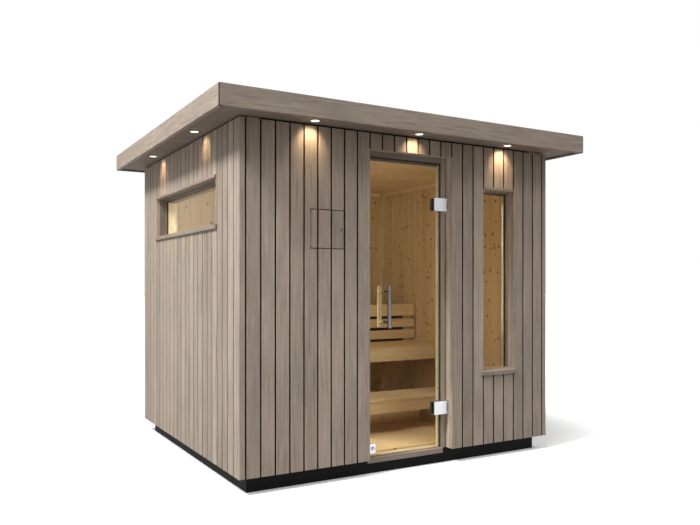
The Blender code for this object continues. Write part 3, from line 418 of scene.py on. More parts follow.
def stained_grain(wire, grain, light, streak, fine):
    """Taupe stain on brushed boards: cloudy, streaked along the grain, each board its own."""
    board = wire.node("Attribute", {"attribute_name": "tone"}, output="Fac")
    cloud = noise(wire, along_grain(wire, grain, 2.6, board), 6.0, 3)
    blush = noise(wire, along_grain(wire, grain, 4.0, board * 1.7 + 0.3), 4.5, 2)
    vein = noise(wire, along_grain(wire, grain, 22, board), 62 * fine, 3, 0.6, 0.3)
    fibre = noise(wire, along_grain(wire, grain, 30, board), 210, 2)
    colour = cloud.rise(0.36, 0.66).tint((0.445, 0.366, 0.290, 1), (0.372, 0.309, 0.252, 1))
    colour = (blush.rise(0.50, 0.70) * 0.65).tint(colour, (0.430, 0.312, 0.262, 1))
    dark, pale = vein.rise(0.52, 0.74), (1 - vein).rise(0.56, 0.74)
    colour = (dark * (0.72 * streak)).tint(colour, (0.255, 0.196, 0.154, 1))
    colour = (pale * (0.78 * streak)).tint(colour, (0.550, 0.460, 0.372, 1))
    colour = ((0.71 + 0.26 * board + 0.36 * fibre) * light).shade(colour)
    return colour, 0.66 + 0.16 * vein, fibre * 0.6 + vein * 0.4


def painted(name, grain, light=1.0, streak=1.0, fine=1.0):
    """A piece of stained timber with its grain along one axis."""
    made, wire = new_finish(name)
    stain = stained_grain(wire, grain, light, streak, fine)
    return matt(close_finish(made, wire, *stain, depth=0.0003), 0.3)


def joint_shade_finish():
    """Nearly black in the depth of a joint: painted shade, over wood that the brush hardly
    reached.
    """
    made, wire = new_finish("joint_shade_paint")
    mottle = noise(wire, along_grain(wire, "Z", 10), 40)
    colour = mottle.tint((0.015, 0.0060, 0.0020, 1), (0.024, 0.0110, 0.0045, 1))
    return matt(close_finish(made, wire, colour, 0.9), 0.0)


reveal_paint = painted("reveal_paint", "Z")
joint_shade_paint = joint_shade_finish()
wall_spruce = spruce("wall_spruce", "Z", light=0.88)


def wall_place(side, along, into, z):
    """A point from its distance along a wall, its depth behind the outer face and its height."""
    if side == "front":
        return Vector((along - WIDTH / 2, into - DEPTH / 2, z))
    if side == "back":
        return Vector((along - WIDTH / 2, DEPTH / 2 - into, z))
    if side == "left":
        return Vector((into - WIDTH / 2, along - DEPTH / 2, z))
    return Vector((WIDTH / 2 - into, along - DEPTH / 2, z))


def upright(form, side, outline, low, high, tone, finish_of=None):
    """An upright board of a wall, from its outline in plan."""
    lower = [wall_place(side, along, into, low) for along, into in outline]
    upper = [wall_place(side, along, into, high) for along, into in outline]
    prism(form, lower, upper, tone, finish_of)


def layer(form, side, along, into, height):
    """A closed sheet of the wall's build-up."""
    (start, end), (outer, inner) = along, into
    outline = [(start, outer), (end, outer), (end, inner), (start, inner)]
    upright(form, side, outline, *height, 0.5)


def line_wall(form, side, along, height, seed):
    """Upright boards with eased edges on the room side of a wall."""
    dice = random.Random(seed)
    count = max(1, round((along[1] - along[0]) / LINING_PITCH))
    step = (along[1] - along[0]) / count
    outer = WALL_THICKNESS - LINING_THICKNESS + LAYER_GAP
    shoulder = WALL_THICKNESS - LINING_CHAMFER
    for n in range(count):
        left = along[0] + n * step + LINING_HALF_JOINT
        right = along[0] + (n + 1) * step - LINING_HALF_JOINT
        outline = [(left, outer), (right, outer), (right, shoulder)]
        outline += [(right - LINING_CHAMFER, WALL_THICKNESS)]
        outline += [(left + LINING_CHAMFER, WALL_THICKNESS), (left, shoulder)]
        upright(form, side, outline, *height, dice.random())


def cuboid(form, low, high):
    """The corners of a new cuboid, from its lowest and its highest point."""
    corners = bmesh.ops.create_cube(form, size=1.0)["verts"]
    bmesh.ops.scale(form, vec=Vector(high) - Vector(low), verts=corners)
    bmesh.ops.translate(form, vec=(Vector(high) + Vector(low)) / 2, verts=corners)
    return corners


def cut_hole(piece, side, along, height, into):
    """Saw an opening through a piece of a wall, square to its faces."""
    corners = [wall_place(side, *place) for place in zip(along, into, height)]
    low, high = [[pick(pair) for pair in zip(*corners)] for pick in (min, max)]
    form = bmesh.new()
    cuboid(form, low, high)
    mesh = bpy.data.meshes.new("saw")
    form.to_mesh(mesh)
    form.free()
    saw = bpy.data.objects.new("saw", mesh)
    scene.collection.objects.link(saw)
    bite = piece.modifiers.new("opening", "BOOLEAN")
    bite.operation = "DIFFERENCE"
    bite.solver = "EXACT"
    bite.use_self = True
    bite.object = saw
    bpy.context.view_layer.update()
    sawn = piece.evaluated_get(bpy.context.evaluated_depsgraph_get())
    shaped = bpy.data.meshes.new_from_object(sawn)
    piece.modifiers.clear()
    old = piece.data
    piece.data = shaped
    bpy.data.meshes.remove(old)
    bpy.data.objects.remove(saw)


def build_wall(name, side, along, room, height, seed, node, holes=(), reveal=reveal_paint):
    """A wall element: a painted outer part, a wooden inner part, the lining and its openings."""
    form = new_form()
    outer_face = CLADDING_THICKNESS + LAYER_GAP
    layer(form, side, along, (outer_face, PAINTED_DEPTH), height)
    lining_back = WALL_THICKNESS - LINING_THICKNESS
    layer(form, side, along, (PAINTED_DEPTH + LAYER_GAP, lining_back), height)
    line_wall(form, side, room, height, seed)
    wall = new_piece(name, form, [wall_spruce, reveal, joint_shade_paint], "spruce", "cabin", node)
    for hole in holes:
        cut_hole(wall, side, *hole)
    face = wall_place(side, 0, 0, 0)
    inward = (wall_place(side, 0, 1, 0) - face).normalized()
    # faces behind the boards, seen in the joints and above them under the soffit, get the painted
    # joint shade
    for polygon in wall.data.polygons:
        depth = (polygon.center - face).dot(inward)
        behind_boards, stained = depth < outer_face + 0.001, depth < PAINTED_DEPTH
        polygon.material_index = 2 if behind_boards else 1 if stained else 0


BOARD_PITCH = 0.0936
FRONT_EDGE = 0.040


def front_joint(number):
    """The place of a joint between two cladding boards, from the front's left corner."""
    return FRONT_EDGE + number * BOARD_PITCH


DOOR_SIDES = (front_joint(9), front_joint(16))
DOOR_HEAD = 2.088
TALL_WINDOW = (front_joint(19), front_joint(22))
TALL_WINDOW_HEIGHTS = (0.600, 1.890)
SIDE_WINDOW = (0.4025, DEPTH - 0.4025)
SIDE_WINDOW_HEIGHTS = (1.586, 1.890)
HATCH = (0.4567, 0.6952)
HATCH_HEIGHTS = (1.441, 1.684)
HATCH_POCKET = (0.0, 0.075)
THROUGH = (-0.1, 0.3)
FULL = (WALL_FOOT, WALL_HEAD)
side_length = (CLADDING_THICKNESS + LAYER_GAP, DEPTH - CLADDING_THICKNESS - LAYER_GAP)
room_length = (WALL_THICKNESS + LAYER_GAP, DEPTH - WALL_THICKNESS - LAYER_GAP)
room_width = (WALL_THICKNESS + LAYER_GAP, WIDTH - WALL_THICKNESS - LAYER_GAP)
beside_door = (room_width[0], DOOR_SIDES[0])
over_door = (DOOR_SIDES[0] + LAYER_GAP, DOOR_SIDES[1] - LAYER_GAP)
by_window = (DOOR_SIDES[1], room_width[1])

# The side window's reveal is stained darker than the others, as painted shade.
build_wall("window_side_wall", "left", side_length, room_length, FULL, 11, "left_wall",
           [(SIDE_WINDOW, SIDE_WINDOW_HEIGHTS, THROUGH)],
           painted("reveal_paint_painted_shade", "Z", light=0.50))
build_wall("plain_side_wall", "right", side_length, room_length, FULL, 12, "right_wall")
build_wall("rear_wall", "back", room_width, room_width, FULL, 13, "back_wall")
build_wall("hatch_side_wall", "front", beside_door, beside_door, FULL, 14, "front_wall_left",
           [(HATCH, HATCH_HEIGHTS, HATCH_POCKET)])
build_wall("wall_over_door", "front", over_door, over_door, (DOOR_HEAD, WALL_HEAD), 15,
           "front_wall_over_door")
# The tall window's reveal is stained lighter than the others, as painted light falling into it.
build_wall("tall_window_wall", "front", by_window, by_window, FULL, 16, "front_wall_right",
           [(TALL_WINDOW, TALL_WINDOW_HEIGHTS, THROUGH)],
           painted("reveal_paint_painted_light", "Z", light=1.28))


# Ceiling: the same spruce boards as the walls, laid across the room under the joists and
# nailed to them.
ceiling_low, ceiling_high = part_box("ceiling")
lining_top = ceiling_low.z + LINING_THICKNESS
form = new_form()
block(form, (ceiling_low.x, ceiling_low.y, lining_top + LAYER_GAP), ceiling_high, 0.5)
lay_flat(form, ceiling_low, ceiling_high, LINING_PITCH, LINING_THICKNESS, LINING_CHAMFER,
         seed=5, up=False)
ceiling_spruce = spruce("ceiling_spruce", "X", light=1.0, knots=0.9, pale=0.15)
new_piece("ceiling_boards", form, [ceiling_spruce], "spruce", "cabin", "ceiling")


# Laths: thin planed strips that cover the joints between ceiling and walls and in the four
# corners of the room, pinned to the boards.
LATH = 0.032
LATH_THICKNESS = 0.010
LATH_EASED = 0.002
LATH_JOINT = 0.0005
ROOM = ((-1.0597, 1.0597), (-0.9367, 0.9367), (0.1183, 2.1097))
(room_left, room_right), (room_front, room_back), (room_floor, room_top) = ROOM


def planed(form, low, high, tone, eased=LATH_EASED, steps=2, finish=0):
    """A planed strip, slat or post with rounded edges."""
    edges = list({edge for vert in cuboid(form, low, high) for edge in vert.link_edges})
    rounded = bmesh.ops.bevel(form, geom=edges, offset=eased, segments=steps, profile=0.5,
                              affect="EDGES")
    layer_of_tone = form.faces.layers.float["tone"]
    beside = {face for vert in rounded["verts"] for face in vert.link_faces}
    for face in set(rounded["faces"]) | beside:
        face[layer_of_tone] = tone
        face.material_index = finish


form = new_form()
for x, inward in ((room_left, 1), (room_right, -1)):
    for y, ahead in ((room_front, 1), (room_back, -1)):
        for wide, deep in ((LATH, LATH_THICKNESS), (LATH_THICKNESS, LATH)):
            far_x, far_y = x + inward * wide, y + ahead * deep
            low = (min(x, far_x), min(y, far_y), room_floor)
            planed(form, low, (max(x, far_x), max(y, far_y), room_top - LATH_THICKNESS), 0.9)
lath_spruce = spruce("lath_spruce", "Z", light=0.84, knots=0.2, pale=0.3)
new_piece("corner_laths", form, [lath_spruce], "spruce", "cabin")
form = new_form()
for y, ahead in ((room_front, 1), (room_back, -1)):
    low = (room_left, min(y, y + ahead * LATH_THICKNESS), room_top - LATH)
    high = (room_right, max(y, y + ahead * LATH_THICKNESS), room_top - LATH_JOINT)
    planed(form, low, high, 0.8)
across_spruce = spruce("cornice_spruce_x", "X", light=1.0, knots=0.2, pale=0.6)
new_piece("cornice_across", form, [across_spruce], "spruce", "cabin")
form = new_form()
for x, inward in ((room_left, 1), (room_right, -1)):
    end = LATH_THICKNESS + LATH_JOINT
    low = (min(x, x + inward * LATH_THICKNESS), room_front + end, room_top - LATH)
    high = (max(x, x + inward * LATH_THICKNESS), room_back - end, room_top - LATH_JOINT)
    planed(form, low, high, 0.8)
along_spruce = spruce("cornice_spruce_y", "Y", light=1.0, knots=0.2, pale=0.2)
new_piece("cornice_along", form, [along_spruce], "spruce", "cabin")


# Cladding: upright tongued boards, 94 mm apart, brushed and stained taupe before they are
# nailed on. A square shadow joint lies between each two of them, with painted shade in its depth.
GROOVE = 0.0098
GROOVE_DEPTH = 0.009
EASED = 0.0020
CLAD_FOOT = 0.100
CLAD_HEAD = 2.187
SIDE_EDGE = 0.098
SIDE_BOARDS = 21
FRONT_BOARDS = 25
NARROWEST = 0.005
clad_finishes = [painted("front_board_paint", "Z"), joint_shade_paint]


def clad_board(form, side, left, right, plain, height, tone, thickness=CLADDING_THICKNESS):
    """A board with an eased face and half a joint at each side that isn't plain.

    Its tongue closes the joint at its right. The sides that lie in a joint carry its painted
    shade.
    """
    plain_left, plain_right = plain
    start = left + (HALF_HAIRLINE if plain_left else GROOVE / 2)
    end = right - (HALF_HAIRLINE if plain_right else GROOVE / 2)
    outline = [(start, EASED), (start + EASED, 0), (end - EASED, 0), (end, EASED)]
    dark = set()
    if plain_right:
        outline += [(end, thickness)]
    else:
        tongue = right + GROOVE / 2 - HALF_HAIRLINE
        outline += [(end, GROOVE_DEPTH), (tongue, GROOVE_DEPTH), (tongue, thickness)]
        dark |= {3, 4}
    outline += [(start, thickness)]
    if not plain_left:
        dark.add(len(outline) - 1)
    upright(form, side, outline, *height, tone, lambda n: int(n in dark))


def clad_wall(form, side, joints, openings, seed):
    """Boards between the joints, sawn off square at openings.

    An opening is its left and right side, its foot, its head, and whether the board at its
    right begins with a joint.
    """
    dice = random.Random(seed)
    for left, right in zip(joints, joints[1:]):
        tone = dice.random()
        near = [hole for hole in openings if hole[0] < right + 0.001 and hole[1] > left - 0.001]
        ends = {z for hole in near for z in hole[2:4] if CLAD_FOOT < z < CLAD_HEAD}
        levels = sorted({CLAD_FOOT, CLAD_HEAD} | ends)
        for low, high in zip(levels, levels[1:]):
            start, end, plain_left, plain_right = left, right, False, False
            for first, last, foot, head, jointed in near:
                if not foot < (low + high) / 2 < head:
                    continue
                if first < left + 0.001:
                    start, plain_left = max(start, last), not jointed
                else:
                    end, plain_right = min(end, first), True
            if end - start > NARROWEST:
                top = high - (0.0 if high == CLAD_HEAD else 0.0001)
                clad_board(form, side, start, end, (plain_left, plain_right), (low, top), tone)


front_joints = [front_joint(n) for n in range(FRONT_BOARDS + 1)]
side_pitch = (DEPTH - 2 * SIDE_EDGE) / SIDE_BOARDS
side_joints = [SIDE_EDGE + n * side_pitch for n in range(SIDE_BOARDS + 1)]
front_holes = [(*DOOR_SIDES, 0.0, DOOR_HEAD, False), (*TALL_WINDOW, *TALL_WINDOW_HEIGHTS, False),
               (*HATCH, *HATCH_HEIGHTS, True)]
form = new_form()
clad_wall(form, "front", front_joints, front_holes, seed=21)
new_piece("front_boards", form, clad_finishes, "painted_boards", "cabin",
          "front_cladding_left", "front_cladding_over_door", "front_cladding_right")
form = new_form()
clad_wall(form, "left", side_joints, [], seed=22)
window_side = new_piece("window_side_boards", form, clad_finishes, "painted_boards", "cabin",
                        "left_cladding")
cut_hole(window_side, "left", SIDE_WINDOW, SIDE_WINDOW_HEIGHTS, THROUGH)
for name, side, joints, seed, node in (
        ("plain_side_boards", "right", side_joints, 23, "right_cladding"),
        ("rear_boards", "back", front_joints, 24, "back_cladding")):
    form = new_form()
    clad_wall(form, side, joints, [], seed)
    new_piece(name, form, clad_finishes, "painted_boards", "cabin", node)


# Corner trims: angle-shaped strips milled from one piece, stained like the boards, that
# cover the board ends at the four corners.
def corner_outline():
    """A corner trim in plan, from the corner: its wide leg along the side of the cabin."""
    reach = FRONT_EDGE - GROOVE / 2
    side_reach = SIDE_EDGE - GROOVE / 2
    back = CLADDING_THICKNESS
    return [
        (EASED, 0), (reach - EASED, 0), (reach, EASED), (reach, back), (back, back),
        (back, side_reach), (EASED, side_reach), (0, side_reach - EASED), (0, EASED),
    ]


BESIDE_JOINTS = (2, 5)
for end, y, back in (("front", -DEPTH / 2, 1), ("back", DEPTH / 2, -1)):
    for hand, x, right in (("left", -WIDTH / 2, 1), ("right", WIDTH / 2, -1)):
        form = new_form()
        plan = [(x + right * across, y + back * along) for across, along in corner_outline()]
        lower, upper = [[(px, py, z) for px, py in plan] for z in (CLAD_FOOT, CLAD_HEAD)]
        # the faces that lie in the joints beside the boards carry the painted joint shade
        prism(form, lower, upper, 0.6, lambda n: int(n in BESIDE_JOINTS))
        new_piece(f"{end}_{hand}_corner", form, clad_finishes, "painted_boards", "cabin",
                  f"corner_trim_{end}_{hand}")


# Soffit: painted panels under the roof's edge with a round lamp let in over each stretch of
# wall. Each lamp has a satin rim and a frosted lens.
RIM_FACE = 2.1990
LAMP_OFFSET = 0.078
FRONT_LAMPS = (-0.760, 0.0, 0.760)
SIDE_LAMPS = (-0.505, 0.505)
LENS_HEIGHT = 2.1978
LENS = ((0.0, 0.0), (0.018, 0.0002), (0.0235, 0.0008), (0.0252, 0.0022), (0.0252, 0.0114),
        (0.0, 0.0114))


def soffit_paint():
    """The stain of the cladding, made darker as painted shade under the eave, with the lamps' rims
    left as satin steel.
    """
    made, wire = new_finish("soffit_paint")
    colour, rough, speck = stained_grain(wire, "X", light=0.60, streak=0.8, fine=1.3)
    height = wire.node("TexCoord", output="Object").axis("Z")
    rim = 1 - height.rise(RIM_FACE, RIM_FACE + 0.0004)
    colour = rim.tint(colour, (0.42, 0.41, 0.40, 1))
    return matt(close_finish(made, wire, colour, rough - 0.35 * rim, speck, 0.0002, rim), 0.3)


def lens_glow():
    """Frosted glass, lit warm from behind."""
    made, wire = new_finish("lens_glow")
    frost = noise(wire, wire.node("TexCoord", output="Object"), 60)
    close_finish(made, wire, (0.9, 0.88, 0.82, 1), 0.4)
    shader = made.node_tree.nodes["Principled BSDF"]
    light = frost.tint((1.0, 0.93, 0.80, 1), (1.0, 0.97, 0.88, 1))
    made.node_tree.links.new(light.socket, shader.inputs["Emission Color"])
    shader.inputs["Emission Strength"].default_value = 2.2
    return made


def turned(form, middle, axis, rings, sides):
    """A turned piece from rings given as radius and distance along the axis."""
    axis = Vector(axis)
    across = axis.orthogonal().normalized()
    up = axis.cross(across)
    angles = [math.tau * n / sides for n in range(sides)]
    loops = []
    for radius, reach in rings:
        centre = Vector(middle) + axis * reach
        if radius == 0:
            loops.append([form.verts.new(centre)])
            continue
        loops.append([form.verts.new(centre + (across * math.cos(a) + up * math.sin(a)) * radius)
                      for a in angles])
    for lower, upper in zip(loops, loops[1:]):
        for n in range(sides):
            m = (n + 1) % sides
            corners = [lower[n % len(lower)], lower[m % len(lower)]]
            corners += [upper[m % len(upper)], upper[n % len(upper)]]
            form.faces.new(list(dict.fromkeys(corners)))


def smooth(piece, crease):
    """Shade a piece smooth, apart from edges that turn more than this many degrees."""
    piece.data.shade_smooth()
    piece.data.set_sharp_from_angle(angle=math.radians(crease))


dress("soffit", soffit_paint())
lamps = [(x, -DEPTH / 2 - LAMP_OFFSET) for x in FRONT_LAMPS]
lamps += [(hand * (WIDTH / 2 + LAMP_OFFSET), y) for hand in (-1, 1) for y in SIDE_LAMPS]
form = bmesh.new()
for x, y in lamps:
    turned(form, (x, y, LENS_HEIGHT), (0, 0, 1), LENS, sides=40)
smooth(new_piece("lamp_lenses", form, [lens_glow()], "glass", "cabin"), crease=50)

BEAM_TILT = math.radians(40)
BEAM_HEIGHT = 2.196
BEAM_SETBACK = 0.012
for number, (x, y) in enumerate(lamps, 1):
    at_front = number <= len(FRONT_LAMPS)
    light = bpy.data.lights.new(f"downlight_{number}", "SPOT")
    light.energy = 6.2 if at_front else 3.3
    light.color = (1.0, 0.74, 0.45)
    light.spot_size = math.radians(92)
    light.spot_blend = 1.0
    light.shadow_soft_size = 0.022
    to_wall = Vector((0, 1, 0)) if at_front else Vector((-math.copysign(1, x), 0, 0))
    beam = Vector((0, 0, -1)) * math.cos(BEAM_TILT) + to_wall * math.sin(BEAM_TILT)
    hang(light, Vector((x, y, BEAM_HEIGHT)) - to_wall * BEAM_SETBACK, beam)


# Roof: a flat deck of boards on the joists, closed by a dark bitumen sheet with a fine
# mineral surface, all hidden from below behind the fascia.
def bitumen():
    """A weathered bitumen sheet strewn with grit."""
    made, wire = new_finish("bitumen_sheet")
    place = wire.node("TexCoord", output="Object")
    grit = noise(wire, place, 420, 2)
    faded = noise(wire, place, 2.4, 3)
    colour = faded.tint((0.050, 0.052, 0.056, 1), (0.085, 0.086, 0.090, 1))
    colour = (0.7 + 0.6 * grit).shade(colour)
    return close_finish(made, wire, colour, 0.86 + 0.1 * grit, grit, 0.0015)


dress("roof_deck", spruce("deck_spruce", "X"))
dress("roof_membrane", bitumen())


# Fascia: four planed boards around the roof, stained like the cladding, mitred at the
# corners with a narrow open joint so that the ends can drain.
ROOF_HALF_WIDTH = 1.400
ROOF_HALF_DEPTH = 1.277
FASCIA_HALF_JOINT = 0.0045
FASCIA_THICKNESS = 0.026
FASCIA_EASED = 0.002


def fascia_board(name, half, away, along_side, finish):
    """A fascia board, from half its length and the place of its outer face."""
    low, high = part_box(name)
    inward = -1 if away > 0 else 1
    # the section of the board, as its depth behind the face and its height
    section = [(0, low.z + FASCIA_EASED), (FASCIA_EASED, low.z), (FASCIA_THICKNESS, low.z)]
    section += [(FASCIA_THICKNESS, high.z), (FASCIA_EASED, high.z), (0, high.z - FASCIA_EASED)]
    ends = []
    for end in (-1, 1):
        ends.append([])
        for depth, z in section:
            reach = end * (half - depth - FASCIA_HALF_JOINT)
            face = away + inward * depth
            ends[-1].append((face, reach, z) if along_side else (reach, face, z))
    form = new_form()
    # the mitred ends carry the painted shade of the open joint at the corners
    prism(form, *ends, 0.55, None, 1)
    new_piece(f"{name}_board", form, [finish, joint_shade_paint], "painted_boards", "cabin", name)


# The boards are stained darker than the cladding, the front and back ones most: painted shade, set
# face by face.
fascia_x = painted("fascia_paint_across", "X", light=0.70, streak=1.3, fine=1.8)
fascia_y = painted("fascia_paint_along", "Y", light=0.88, streak=1.3, fine=1.8)
fascia_board("fascia_front", ROOF_HALF_WIDTH, -ROOF_HALF_DEPTH, False, fascia_x)
fascia_board("fascia_back", ROOF_HALF_WIDTH, ROOF_HALF_DEPTH, False, fascia_x)
fascia_board("fascia_left", ROOF_HALF_DEPTH, -ROOF_HALF_WIDTH, True, fascia_y)
fascia_board("fascia_right", ROOF_HALF_DEPTH, ROOF_HALF_WIDTH, True, fascia_y)


# Windows: fixed panes in rebated frames, stained in front of the pane and clear behind it,
# each with a sloping sill that throws water clear of the boards, and a strip above.
PANE_FRONT = 0.0720
PANE_BACK = 0.0822
FRAME_EASED = 0.0012
SHARP = 0.0004


def soften(name, width):
    """Round the edges of a node that keeps its shape."""
    weld = nodes[name].modifiers.new("one_skin", "WELD")
    weld.merge_threshold = 0.00002
    bevel = nodes[name].modifiers.new("eased_edges", "BEVEL")
    bevel.width = width
    bevel.segments = 2
    bevel.limit_method = "ANGLE"
    bevel.angle_limit = math.radians(40)


def glass(name, tint, edge):
    """A clear pane that mirrors a little, more at a flat angle, with polished edges drawn opaque
    and nearly black as painted shade.
    """
    made = bpy.data.materials.new(name)
    made.use_nodes = True
    tree = made.node_tree
    tree.nodes.remove(tree.nodes["Principled BSDF"])
    wire = Wire(tree)
    flatter = wire.node("LayerWeight", None, {"Blend": 0.5}, "Facing")
    film = noise(wire, wire.node("TexCoord", output="Object"), 2.0)
    mirror = 0.001 + 0.002 * film + 0.50 * flatter ** 5
    clear = wire.node("BsdfTransparent", None, {"Color": tint})
    shine = wire.node("BsdfGlossy", None, {"Color": (0.8, 0.82, 0.84, 1), "Roughness": 0.02})
    pane = wire.node("MixShader", None, {0: mirror, 1: clear, 2: shine})
    face = abs(wire.node("TexCoord", output="Normal").axis(edge)).rise(0.4, 0.6)
    # the edges are nearly black: painted shade of the gap around the pane
    polished = {"Base Color": (0.040, 0.038, 0.030, 1), "Roughness": 0.3}
    polished = wire.node("BsdfPrincipled", None, polished)
    rim = wire.node("MixShader", None, {0: 0.8, 1: clear, 2: polished})
    whole = wire.node("MixShader", None, {0: face, 1: rim, 2: pane})
    tree.links.new(whole.socket, tree.nodes["Material Output"].inputs["Surface"])
    return made


def frame_wood(name, grain, axis, half, light):
    """Clear spruce behind the pane, with painted shade on its undersides, a dark rebate around it
    and a stained lip before it.
    """
    made, wire = new_finish(name)
    clear, rough, relief = spruce_grain(wire, grain, light=1.0, knots=0.25, pale=0.85)
    stain = stained_grain(wire, grain, light, 1.0, 1.0)[0]
    depth = wire.node("TexCoord", output="Object").axis(axis) + half
    colour = depth.rise(PANE_FRONT - SHARP, PANE_FRONT).tint(stain, (0.030, 0.016, 0.009, 1))
    # undersides of the clear wood are darkened: painted shade
    below = (0 - wire.node("TexCoord", output="Normal").axis("Z")).rise(0.5, 0.9)
    clear = (below * 0.8).tint(clear, (0.24, 0.145, 0.065, 1))
    colour = depth.rise(PANE_BACK, PANE_BACK + SHARP).tint(colour, clear)
    return matt(close_finish(made, wire, colour, rough, relief, 0.0005), 0.25)


window_paint_y = painted("window_paint_along", "Y", light=0.9)
window_paint_x = painted("window_paint_across", "X", light=0.9)
# The stained lip is lighter at the front window, as painted light, and darker at the side window,
# as painted shade.
front_frame_wood = frame_wood("front_frame_wood", "Z", "Y", DEPTH / 2, light=1.2)
side_frame_wood = frame_wood("side_frame_wood", "Y", "X", WIDTH / 2, light=0.6)
for name, finish, slot in (
        ("front_window_frame", front_frame_wood, "spruce"),
        ("side_window_frame", side_frame_wood, "spruce"),
        ("front_window_sill", window_paint_x, "painted_boards"),
        ("side_window_sill", window_paint_y, "painted_boards"),
        ("front_window_lintel", window_paint_x, "painted_boards"),
        ("side_window_lintel", window_paint_y, "painted_boards")):
    dress(name, finish)
    soften(name, FRAME_EASED)
dress("front_window_glass", glass("front_pane", (0.95, 0.96, 0.95, 1), "Y"))
dress("side_window_glass", glass("side_pane", (0.95, 0.96, 0.95, 1), "X"))


# Door frame: two rebated jambs and a head screwed to the wall, and a threshold with a
# sloping front, stained taupe outside and left clear behind the glass.
JAMB_FACE = 0.064
JAMB_STOP = 0.0815
JAMB_EDGE_SHADE = 0.0050
HEAD_SHADE_LINE = 2.0527


def jamb_wood(name, grain, light, clear_inside=True):
    """Stained on its outer face, with painted shade beside the glass and along its outer edge,
    mostly left clear behind it.
    """
    made, wire = new_finish(name)
    stain, rough, relief = stained_grain(wire, grain, light, 1.0, 1.0)
    clear = spruce_grain(wire, grain, light=1.0, knots=0.25, pale=0.5)[0]
    place = wire.node("TexCoord", output="Object")
    depth = place.axis("Y") + DEPTH / 2
    aside = place.axis("X") - (sum(DOOR_SIDES) / 2 - WIDTH / 2)
    joint = (DOOR_SIDES[1] - DOOR_SIDES[0]) / 2 - JAMB_EDGE_SHADE
    # painted shade in the gap beside the glass and on a strip along the jamb's outer edge
    gap = depth.rise(JAMB_FACE + 0.0010, JAMB_FACE + 0.0022)
    gap = gap.larger(abs(aside).rise(joint, joint + 0.0005))
    # on the head, its lowest strip is painted shade as well
    if not clear_inside:
        gap = gap.larger(1 - place.axis("Z").rise(HEAD_SHADE_LINE, HEAD_SHADE_LINE + 0.0005))
    colour = gap.tint(stain, (0.026, 0.014, 0.008, 1))
    behind = depth.rise(JAMB_STOP - 0.0006, JAMB_STOP - 0.0003)
    colour = behind.tint(colour, clear if clear_inside else stain)
    return matt(close_finish(made, wire, colour, rough, relief, 0.0005), 0.3)


# The jambs are stained lighter and the head darker than the cladding: painted light and painted
# shade.
jamb_finish = jamb_wood("jamb_wood", "Z", light=1.22)
for name, finish in (("door_jamb_hinge_side", jamb_finish), ("door_jamb_lock_side", jamb_finish),
                     ("door_head", jamb_wood("head_wood", "X", light=0.80, clear_inside=False)),
                     ("door_threshold", jamb_wood("threshold_wood", "X", light=0.95))):
    dress(name, finish)
    soften(name, FRAME_EASED)


# Door: one pane of toughened glass. Two satin steel hinges clamp it, with a pinned barrel
# each, and their fixed halves are screwed to the jamb.
HINGE_EASED = 0.0006


def steel(name, grain, light, rough, cast=(1.0, 1.0, 1.03), dark_at=None,
          dark=(0.06, 0.06, 0.065, 1)):
    """Satin steel, finely brushed along one direction, and dark where a mask says, as the painted
    shade on the hinges' cheeks.
    """
    made, wire = new_finish(name)
    brush = noise(wire, along_grain(wire, grain, 60), 900, 2)
    smear = noise(wire, along_grain(wire, grain, 1), 30, 2)
    colour = (0.94 + 0.12 * smear).shade([light * part for part in cast])
    if dark_at:
        colour = dark_at(wire).tint(colour, dark)
    return close_finish(made, wire, colour, rough + 0.10 * brush, brush, 0.00005, 1.0)


def shaded_cheek(wire):
    """The cheeks of the hinges that face the handle, darkened as painted shade."""
    return (0 - wire.node("TexCoord", output="Normal").axis("X")).rise(0.6, 0.9)


dress("door_glass", glass("door_pane", (0.93, 0.945, 0.935, 1), "Y"))
hinge_steel = steel("hinge_steel", "Z", light=0.50, rough=0.34, dark_at=shaded_cheek)
for name in ("lower_hinge_clamp", "upper_hinge_clamp",
             "lower_hinge_bracket", "upper_hinge_bracket"):
    dress(name, hinge_steel)
    soften(name, HINGE_EASED)


# Handle: a steel tube outside and a round aspen bar inside, which stays cool to the hand.
# Two bolts through the glass hold both.
def aspen(name, grain, light=1.0):
    """Pale aspen, planed smooth: faint streaks and slats that differ a little."""
    made, wire = new_finish(name)
    slat = wire.node("Attribute", {"attribute_name": "tone"}, output="Fac")
    fibre = noise(wire, along_grain(wire, grain, 30, slat), 150, 2)
    streak = noise(wire, along_grain(wire, grain, 16, slat), 30, 3, 0.5, 0.5)
    cloud = noise(wire, along_grain(wire, grain, 3, slat), 5, 2)
    colour = streak.rise(0.42, 0.72).tint((0.80, 0.615, 0.345, 1), (0.675, 0.475, 0.235, 1))
    colour = (cloud * 0.4).tint(colour, (0.74, 0.53, 0.275, 1))
    colour = ((0.90 + 0.12 * slat + 0.10 * fibre) * light).shade(colour)
    return close_finish(made, wire, colour, 0.46 + 0.12 * fibre, fibre, 0.0003)


# The tube's steel is kept dark and a little purple: a painted reflection of dark surroundings.
tube_steel = steel("tube_steel", "Z", light=0.135, rough=0.20, cast=(1.0, 0.90, 0.93))
dress("door_pull", tube_steel)
soften("door_pull", 0.0008)
dress("door_inner_handle", aspen("handle_aspen", "Z", light=1.12))
soften("door_inner_handle", 0.0012)


# Patch lock: a steel plate clamped over the lower corner of the glass, with a bare round
# key cylinder.
KEY_RADIUS = 0.0063
KEY_RING = 0.0115
lock_low, lock_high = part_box("door_corner_lock")


